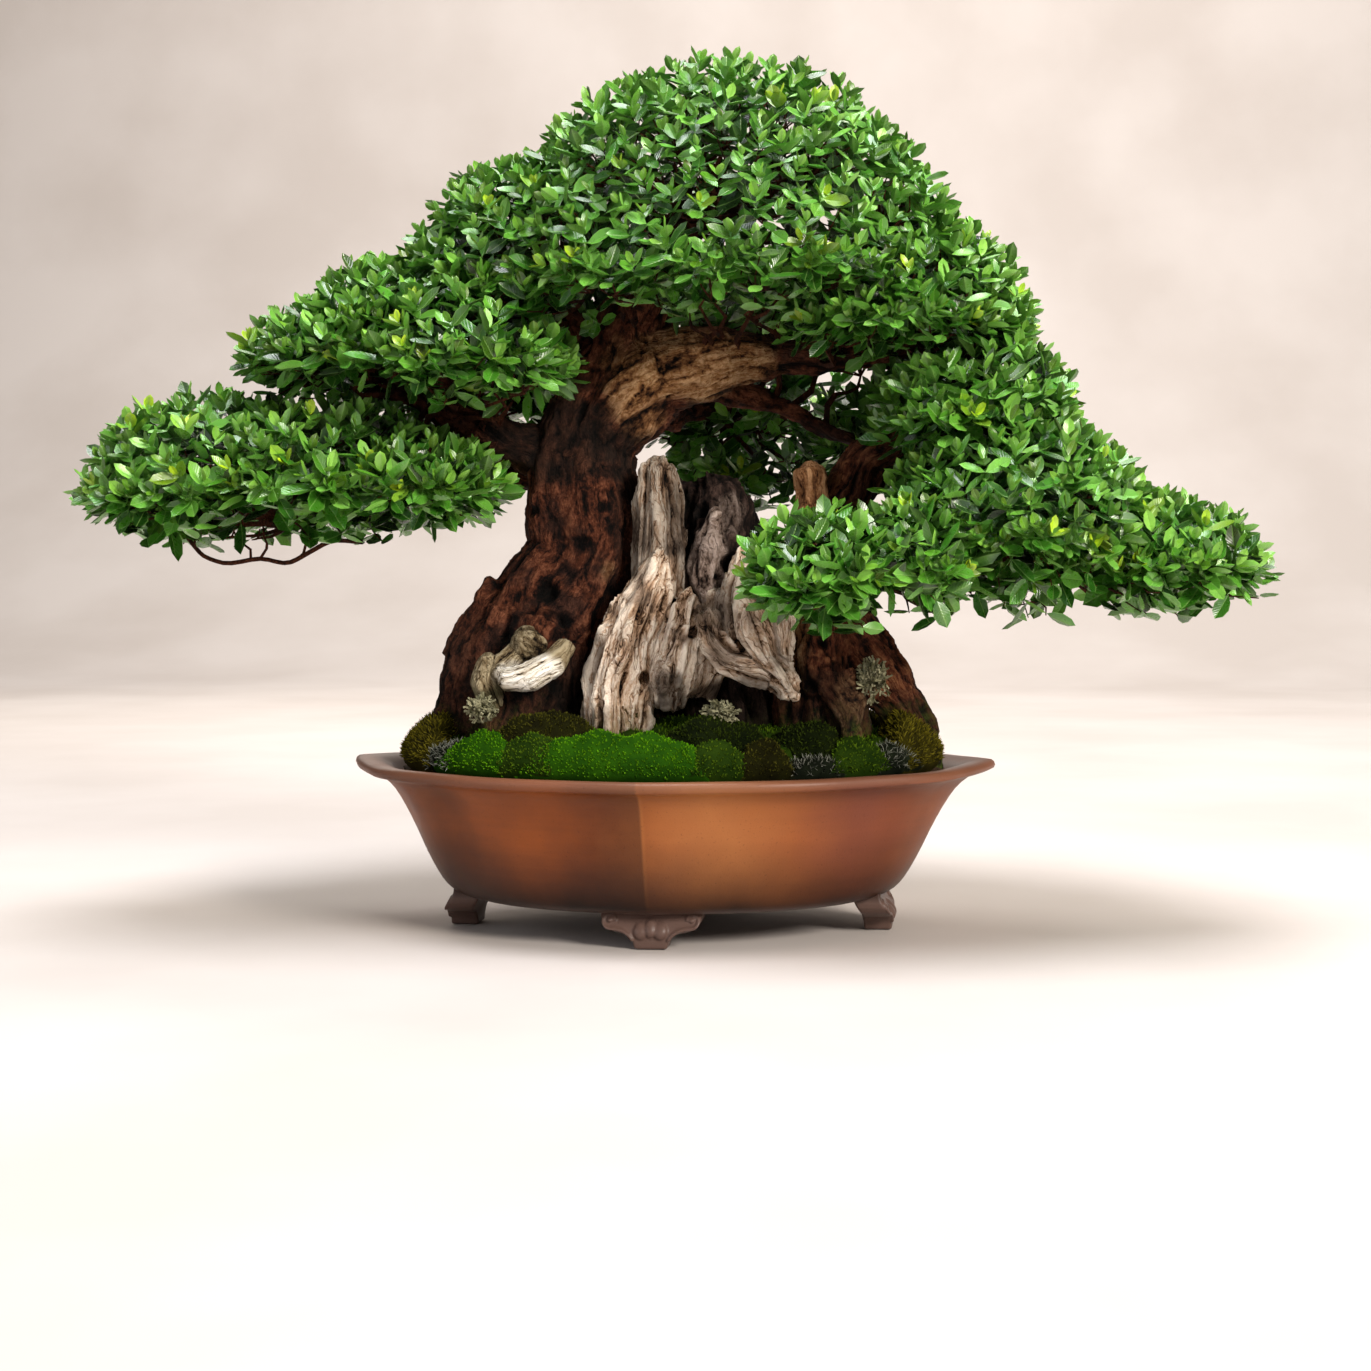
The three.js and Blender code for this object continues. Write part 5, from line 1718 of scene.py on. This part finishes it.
@dataclass
class TwigNet:
    """Thin twigs from the limbs' ends to the sprigs."""

    sprigs_per_fork: int = 7
    fork_radius: float = 2.1
    twig_radius: float = 0.8
    sides: int = 3
    wobble: float = 0.09
    pull: float = 0.24
    sag: float = 6
    thickest_anchor: float = 26
    seed: int = 13

    def tubes(self, starts: Array, ends: Array, thick: float, thin: float, rings: int) -> tuple:
        """Makes bent tapering tubes between pairs of places, all with the same faces.

        Args:
            starts: Where they start, in layout millimetres.
            ends: Where they end.
            thick: Radius at the start.
            thin: Radius at the end.
            rings: How many rings each has.

        Returns:
            Points of all tubes, the triangles of one and how far along it each of its points lies.
        """
        draw = np.random.default_rng(self.seed)
        share = np.linspace(0, 1, rings)
        way = unit(ends - starts)
        reach = np.linalg.norm(ends - starts, axis=1)[:, None, None]
        bend = draw.normal(0, 1, (2, *starts.shape)) * self.wobble
        middle = starts[:, None] + (ends - starts)[:, None] * share[None, :, None]
        middle = middle + reach * bend[0][:, None] * np.sin(np.pi * share)[None, :, None]
        middle = middle + reach * 0.6 * bend[1][:, None] * np.sin(2 * np.pi * share)[None, :, None]
        across = unit(np.cross(way, np.array([0.31, 0.2, 0.93])))
        beside = np.cross(way, across)
        turn = 2 * np.pi * np.arange(self.sides) / self.sides
        radius = thick + (thin - thick) * share
        ring = across[:, None] * np.cos(turn)[None, :, None] + beside[:, None] * np.sin(turn)[None, :, None]
        points = middle[:, :, None] + ring[:, None] * radius[None, :, None, None]
        faces = []
        for row in range(rings - 1):
            for side in range(self.sides):
                a = row * self.sides + side
                b = row * self.sides + (side + 1) % self.sides
                faces += [(a, b, b + self.sides), (a, b + self.sides, a + self.sides)]
        last = (rings - 1) * self.sides
        for side in range(1, self.sides - 1):
            faces += [(0, side + 1, side), (last, last + side, last + side + 1)]
        return points.reshape(len(starts), -1, 3), np.array(faces), np.repeat(share, self.sides)

    def anchors(self) -> Array:
        """Places along the outer halves of the limbs that twigs may spring from."""
        found = []
        for limb in (*TRUNK_LIMBS[6:], TRUNK_LIMBS[0], RIGHT_LIMBS[0], *RIGHT_LIMBS[5:]):
            stations = np.array(limb.stations)
            for t in np.linspace(0.35, 1, 9):
                at = t * (len(stations) - 1)
                place = [np.interp(at, np.arange(len(stations)), stations[:, axis]) for axis in range(4)]
                if place[3] < self.thickest_anchor:
                    found.append(place[:3])
        return np.array(found)

    def build(self, finishes: Finishes, starts: dict[str, Array]) -> None:
        """Joins each sprig to a fork near it and each fork to the nearest limb.

        Args:
            finishes: The materials.
            starts: Places where each pad's sprigs start.
        """
        anchors = self.anchors()
        parts = MeshParts()
        for roots in starts.values():
            forks = self.forks(roots, anchors)
            origins = forks[nearest(roots, forks)]
            self.add(parts, origins, roots + UP, self.twig_radius * 1.2, self.twig_radius * 0.6, 3)
            home = anchors[nearest(forks, anchors)]
            self.add(parts, home, forks, self.fork_radius * 1.5, self.twig_radius * 1.3, 6)
        TwigNet(sides=6).add_bare_twig(parts)
        piece = parts.build("canopy_twigs", 80)
        store(piece, "grain", points_of(piece) - np.array(CENTRE))
        store(piece, "zones", np.tile([0.35, 0, 0], (len(piece.data.vertices), 1)))
        settle(piece, [], finishes, "bark")

    def forks(self, roots: Array, anchors: Array) -> Array:
        """Groups sprigs and pulls each group's middle towards the nearest limb."""
        count = max(2, len(roots) // self.sprigs_per_fork)
        centres = roots[np.linspace(0, len(roots) - 1, count).astype(int)]
        for _ in range(6):
            group = nearest(roots, centres)
            members = [roots[group == i] for i in range(count)]
            centres = np.array([own.mean(0) if len(own) else old for own, old in zip(members, centres)])
        home = anchors[nearest(centres, anchors)]
        return centres + (home - centres) * self.pull - UP * self.sag

    def add(self, parts: MeshParts, starts: Array, ends: Array, thick: float, thin: float,
            rings: int) -> None:
        """Adds one batch of twigs."""
        points, faces, share = self.tubes(starts, ends, thick, thin, rings)
        marks = np.zeros((*points.shape[:2], 3))
        places = np.zeros((*points.shape[:2], 2))
        places[..., 0] = share
        parts.add(placed(points), faces, marks, places)

    def add_bare_twig(self, parts: MeshParts) -> None:
        """Adds the bare forked twig that hangs below the left lower pad."""
        route = np.array([(-349, -44, 288), (-341, -45, 277), (-332, -46, 267), (-315, -46, 261),
                          (-290, -45, 266), (-270, -46, 261), (-254, -46, 270), (-238, -45, 279),
                          (-216, -44, 277)], float)
        at = np.linspace(0, len(route) - 1, 29)
        line = np.stack([np.interp(at, np.arange(len(route)), route[:, axis]) for axis in range(3)], 1)
        line[1:-1] = (line[:-2] + 2 * line[1:-1] + line[2:]) / 4
        self.add(parts, line[1:], line[:-1], 1.7, 1.7, 2)
        stubs = line[[5, 13, 14, 19, 24]]
        ways = np.array([(-4, 0, 13), (-12, 0, 20), (2, 0, 24), (9, 2, 25), (-8, 4, 16)], float)
        self.add(parts, stubs, stubs + ways, 1.2, 0.7, 5)


# Moss, lichen and soil


@dataclass
class MossShoot:
    """One moss shoot: a slim spike of four faces."""

    radius: float = 0.75
    height: float = 3.2

    def shape(self) -> tuple[Array, Array]:
        """Gives its points and triangles, upright at the origin, in millimetres."""
        turn = 2 * np.pi * np.arange(3) / 3
        base = np.stack([self.radius * np.cos(turn), self.radius * np.sin(turn), np.full(3, -0.6)], 1)
        points = np.vstack([base, [[0, 0, self.height]]])
        return points, np.array([(0, 1, 3), (1, 2, 3), (2, 0, 3), (2, 1, 0)])


def scatter(piece: Piece, count: int, draw: np.random.Generator, lowest: float = -0.2) -> tuple[Array, Array]:
    """Spreads places evenly over a mesh's surface.

    Args:
        piece: The mesh.
        count: How many places.
        draw: Random draws.
        lowest: Faces whose normal has a smaller height than this are left out.

    Returns:
        The places in the frame and the ways that they face.
    """
    triangles = points_of(piece)[triangles_of(piece)]
    normals = np.cross(triangles[:, 1] - triangles[:, 0], triangles[:, 2] - triangles[:, 0])
    area = np.linalg.norm(normals, axis=1)
    ways = unit(normals)
    area = np.where(ways[:, 2] > lowest, area, 0)
    chosen = draw.choice(len(area), count, p=area / area.sum())
    first, second = draw.random((2, count, 1))
    flip = (first + second) > 1
    first, second = np.where(flip, 1 - first, first), np.where(flip, 1 - second, second)
    corner, second_corner, third_corner = triangles[chosen].transpose(1, 0, 2)
    places = corner + first * (second_corner - corner) + second * (third_corner - corner)
    return places, ways[chosen]


def tufted(piece: Piece, shoot: MossShoot, count: int, draw: np.random.Generator, unruly: float) -> Piece:
    """Joins a cushion and the shoots that stand on it to one mesh.

    Args:
        piece: The cushion's body.
        shoot: The shoot that is copied.
        count: How many shoots.
        draw: Random draws.
        unruly: How far the shoots lean away from straight.

    Returns:
        The tufted cushion.
    """
    places, ways = scatter(piece, count, draw)
    axis = unit(ways + draw.normal(0, unruly, ways.shape) + 0.25 * UP)
    shape, faces = shoot.shape()
    turned = turned_copies(shape, axis, draw)
    size = draw.uniform(0.65, 1.3, (count, 1, 1)) * MM
    copies = turned * size + places[:, None]
    marks = np.zeros((count, len(shape), 3))
    # The first mark is the height in the tuft, low at the shoots' feet; the moss material turns it into
    # painted shade.
    marks[:, :3, 0] = 0.25
    marks[:, 3, 0] = 1
    marks[..., 1] = draw.random((count, 1)) * np.where(np.arange(len(shape)) == 3, 1, 0.3)
    parts = MeshParts()
    body = points_of(piece)
    body_marks = np.zeros((1, len(body), 3))
    body_marks[..., 0] = 0.3
    parts.add(body[None], triangles_of(piece), body_marks, np.zeros((1, len(body), 2)))
    parts.add(copies, faces, marks, np.zeros((count, len(shape), 2)))
    name = piece.name
    bpy.data.objects.remove(piece)
    made = parts.build(name + "_tufts", 80)
    made.name = name
    return made


@dataclass
class MossBed:
    """Cushions of moss in six colours and the low carpet between them."""

    shoots_per_square: float = 0.15
    back_share: float = 0.66
    fine_above: float = 0.022
    carpet_reach: float = 186
    carpet_shoots: int = 5800
    ground_level: float = 112
    spread: float = 1.36
    rim: float = 187
    overhang: float = 8
    dome_base: float = 115
    dome_rise: float = 78
    dome_half: float = 197
    dome_press: float = 0.88
    ground_half: float = 190
    ground_edge: float = 117.5
    ground_rise: float = 22
    carpet_cells: tuple[int, int] = (66, 47)
    seed: int = 23
    cushions: dict[str, tuple[MossColour, MossShoot, float]] = field(default_factory=lambda: {
        "moss_left_bank": (MossColour.OLIVE, MossShoot(0.7, 2.9), 0.35),
        "moss_left_hoary": (MossColour.HOARY, MossShoot(0.5, 3.6), 0.5),
        "moss_front_left_bright": (MossColour.BRIGHT, MossShoot(1.1, 1.4), 0.3),
        "moss_front_left_small": (MossColour.MID, MossShoot(1.1, 1.6), 0.3),
        "moss_left_brown": (MossColour.BROWN, MossShoot(1.05, 1.8), 0.35),
        "moss_centre_bright": (MossColour.BRIGHT, MossShoot(1.1, 1.4), 0.3),
        "moss_centre_small": (MossColour.MID, MossShoot(1.1, 1.6), 0.3),
        "moss_centre_dark": (MossColour.DARK, MossShoot(1.05, 1.8), 0.4),
        "moss_front_hoary": (MossColour.HOARY, MossShoot(0.5, 3.4), 0.5),
        "moss_front_mid": (MossColour.BROWN, MossShoot(1.05, 1.8), 0.35),
        "moss_right_mid": (MossColour.MID, MossShoot(1.05, 1.8), 0.35),
        "moss_right_dark": (MossColour.DARK, MossShoot(1.05, 1.9), 0.4),
        "moss_right_hoary": (MossColour.HOARY, MossShoot(0.5, 3.6), 0.5),
        "moss_right_bank": (MossColour.OLIVE, MossShoot(0.7, 2.9), 0.35),
        "moss_back_left": (MossColour.MID, MossShoot(1.05, 1.8), 0.35),
        "moss_back_centre": (MossColour.BRIGHT, MossShoot(1.1, 1.6), 0.3),
        "moss_back_right": (MossColour.DARK, MossShoot(1.05, 1.8), 0.4),
        "moss_back_right_bank": (MossColour.OLIVE, MossShoot(0.7, 2.9), 0.35),
    })

    def cushion(self, node: str, draw: np.random.Generator, finishes: Finishes) -> None:
        """Builds one cushion from its node's form."""
        colour, shoot, unruly = self.cushions[node]
        low, high = (np.array(corner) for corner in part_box(node))
        half = (high - low) / 2
        deselect()
        behind = "back" in node
        fine = half[0] > self.fine_above and not behind
        bpy.ops.mesh.primitive_ico_sphere_add(subdivisions=5 if fine else 4, radius=1)
        body = named(node.replace("moss_", "cushion_"))
        edit_all()
        bpy.ops.mesh.bisect(plane_co=(0, 0, -0.2), plane_no=(0, 0, 1), use_fill=True, clear_inner=True)
        bpy.ops.object.mode_set(mode="OBJECT")
        base = CENTRE.z + self.ground_level * MM
        flat = 0.68 if colour is MossColour.HOARY else 1
        size = np.array([half[0] * self.spread, half[1] * self.spread, (high[2] - base) * flat + 0.002])
        points = points_of(body) * size + np.array([*((low + high) / 2)[:2], base])
        layout = points / MM
        swell = 4.4 * cell_noise(layout / 17, self.seed) + 1.7 * cell_noise(layout / 4.6, self.seed + 1)
        move_points(body, points)
        points = points + points_of(body, "normal") * swell[:, None] * MM
        move_points(body, self.inside_rim(points))
        area = sum(polygon.area for polygon in body.data.polygons) / MM ** 2
        count = int(area * self.shoots_per_square * (self.back_share if behind else 1))
        slot = "moss_" + colour.name.lower()
        settle(tufted(body, shoot, count, draw, unruly), [node], finishes, slot)

    def inside_rim(self, points: Array) -> Array:
        """Pulls points back inside the pot's lip and under a slope that rises from it."""
        flat = points[:, :2] / MM - np.array(CENTRE)[:2] / MM
        reach = np.hypot(flat[:, 0], flat[:, 1] / DEPTH_RATIO)
        rim = self.rim + np.clip(points[:, 2] / MM - CENTRE.z / MM - self.ground_level, 0, self.overhang)
        share = np.minimum(1, rim / np.maximum(reach, 1))
        points[:, :2] = flat * share[:, None] * MM + np.array(CENTRE)[:2]
        dome = np.sqrt(np.maximum(0, 1 - (reach * share / self.dome_half) ** 2))
        limit = CENTRE.z + (self.dome_base + self.dome_rise * dome) * MM
        over = np.maximum(0, points[:, 2] - limit)
        points[:, 2] -= over * self.dome_press
        return points

    def ground(self, x: Array, y: Array) -> Array:
        """Height of the carpet over the soil, in layout millimetres."""
        half = self.ground_half
        share = np.minimum(1, (x / half) ** 2 + (y / (half * DEPTH_RATIO)) ** 2)
        places = np.stack([x, y, np.zeros_like(x)], 1)
        hills = np.sqrt(np.abs(cell_noise(places / 19, self.seed + 3)))
        lumps = 11 * hills + 2 * cell_noise(places / 6, self.seed + 4)
        inward = 1 - share
        return self.ground_edge + self.ground_rise * inward + (6 + lumps) * np.minimum(1, 3.6 * inward)

    def carpet(self, draw: np.random.Generator, finishes: Finishes) -> None:
        """Builds the low moss between the cushions."""
        deselect()
        across, deep = self.carpet_cells
        bpy.ops.mesh.primitive_grid_add(x_subdivisions=across, y_subdivisions=deep, size=2)
        sheet = named("carpet_moss")
        points = points_of(sheet)
        u, v = points[:, 0], points[:, 1]
        x = self.carpet_reach * u * np.sqrt(1 - v * v / 2)
        y = self.carpet_reach * DEPTH_RATIO * v * np.sqrt(1 - u * u / 2)
        move_points(sheet, placed(np.stack([x, y, self.ground(x, y)], 1)))
        modify(sheet, "SOLIDIFY", thickness=3 * MM, offset=-1)
        made = tufted(sheet, MossShoot(1, 2.6), self.carpet_shoots, draw, 0.4)
        settle(made, [], finishes, "moss_mid")

    def build(self, finishes: Finishes) -> None:
        """Builds the carpet and every cushion."""
        draw = np.random.default_rng(self.seed)
        self.carpet(draw, finishes)
        for node in self.cushions:
            self.cushion(node, draw, finishes)


@dataclass
class Lichens:
    """Three tufts of branching lichen."""

    branches: int = 70
    seed: int = 41
    nodes: tuple[str, ...] = ("lichen_left", "lichen_centre", "lichen_right")

    def build(self, finishes: Finishes) -> None:
        """Grows forked branches out of each tuft's middle."""
        draw = np.random.default_rng(self.seed)
        net = TwigNet(wobble=0.12)
        for node in self.nodes:
            low, high = (np.array(corner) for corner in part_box(node))
            middle = ((low + high) / 2 - np.array(CENTRE)) / MM
            half = (high - low) / 2 / MM
            ways = unit(ball_directions(self.branches) + draw.normal(0, 0.12, (self.branches, 3)) + 0.35 * UP)
            forks = middle + ways * half * draw.uniform(0.35, 0.75, (self.branches, 1))
            parts = MeshParts()
            net.add(parts, np.repeat(middle[None], self.branches, 0), forks, 0.8, 0.7, 3)
            for _ in range(4):
                lean = unit(ways + draw.normal(0, 0.8, ways.shape))
                tips = forks + lean * half * draw.uniform(0.2, 0.5, (self.branches, 1))
                net.add(parts, forks, tips, 0.6, 0.8, 3)
            settle(parts.build(node + "_tuft", 60), [node], finishes, "lichen")


# Studio


@dataclass(frozen=True)
class SoftLight:
    """One large soft light, placed round the pot's centre in metres."""

    name: str
    place: Place
    size: float
    power: float
    colour: str
    aim: Place = (0, 0, 0.3)


@dataclass
class Studio:
    """Pale floor that curves up into a backdrop, soft lights and the camera."""

    camera_place: Place = (228.6, -1587, 266.5)
    lens: float = 57.9
    yaw: float = 4.35
    shift: tuple[float, float] = (-0.0983, -0.0937)
    floor_size: float = 16
    sweep_distance: float = 4.5
    lights: tuple[SoftLight, ...] = (
        SoftLight("key", (2.0, -2.1, 1.5), 1.0, 124, "#fff7ee"),
        SoftLight("fill", (-2.0, -2.0, 1.1), 2.0, 15, "#f4f6ff"),
        SoftLight("top", (0.1, -0.5, 2.3), 1.4, 74, "#f8faff"),
        SoftLight("back", (-1.2, 2.2, 1.6), 1.8, 14, "#fff6ea"),
        SoftLight("wash", (0, 1.6, 3.4), 2.4, 172, "#fffaf6", (0, 4.5, 0.6)),
    )
    ambient: float = 0.28
    surroundings: str = "#f6f1ea"
    paper: CrustFinish = CrustFinish("#b8b0aa", "#c2bbb6", 2.2, 0.85, 0.0002)

    def camera(self) -> None:
        """Makes the camera at the viewing angle."""
        data = bpy.data.cameras.new("camera")
        data.lens = self.lens
        data.shift_x, data.shift_y = self.shift
        camera = linked("camera", data)
        camera.location = placed(np.array(self.camera_place))
        camera.rotation_euler = (math.radians(90), 0, math.radians(self.yaw))
        bpy.context.scene.camera = camera

    def floor(self) -> None:
        """Makes the floor and curves its back edge up."""
        deselect()
        middle = (CENTRE.x, CENTRE.y, CENTRE.z - 0.0004)
        bpy.ops.mesh.primitive_plane_add(size=self.floor_size, location=middle)
        floor = named("studio_floor")
        settle_transform()
        points = points_of(floor)
        back = points[:, 1] > CENTRE.y
        points[back, 1] = CENTRE.y + self.sweep_distance
        move_points(floor, points)
        bpy.ops.object.mode_set(mode="EDIT")
        bpy.ops.mesh.select_all(action="DESELECT")
        bpy.ops.object.mode_set(mode="OBJECT")
        for edge in floor.data.edges:
            edge.select = all(floor.data.vertices[i].co.y > CENTRE.y + 1 for i in edge.vertices)
        bpy.ops.object.mode_set(mode="EDIT")
        bpy.ops.mesh.select_mode(type="EDGE")
        bpy.ops.mesh.extrude_region_move(TRANSFORM_OT_translate={"value": (0, 0, 7)})
        bpy.ops.object.mode_set(mode="OBJECT")
        modify(floor, "BEVEL", width=1.6, segments=24, limit_method="ANGLE", angle_limit=math.radians(60))
        soften(floor, 60)
        floor.data.materials.append(self.paper.material("studio_paper"))

    def shine(self) -> None:
        """Makes the lights and the pale surroundings."""
        for light in self.lights:
            data = bpy.data.lights.new(light.name, "AREA")
            data.shape = "DISK"
            data.size = light.size
            data.energy = light.power
            data.color = tint(light.colour)[:3]
            lamp = linked(light.name, data)
            lamp.location = CENTRE + Vector(light.place)
            beam = Vector(light.aim) - Vector(light.place)
            lamp.rotation_euler = beam.to_track_quat("-Z", "Y").to_euler()
        world = bpy.data.worlds.new("soft_room")
        world.use_nodes = True
        sky = world.node_tree.nodes["Background"]
        sky.inputs["Color"].default_value = tint(self.surroundings)
        sky.inputs["Strength"].default_value = self.ambient
        bpy.context.scene.world = world
        bpy.context.scene.view_settings.view_transform = "Standard"

    def build(self) -> None:
        """Builds the studio."""
        self.camera()
        self.floor()
        self.shine()


def main() -> None:
    """Builds the scene in order."""
    logging.basicConfig(level=logging.INFO, format="%(name)s %(message)s")
    Studio().build()
    finishes = Finishes()
    ClayPot().build(finishes)
    DrainScreens().build(finishes)
    finishes.dress(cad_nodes()["soil"], "soil")
    OldWood().build(finishes)
    MossBed().build(finishes)
    Lichens().build(finishes)
    Canopy().build(finishes)


if __name__ == "__main__":
    main()
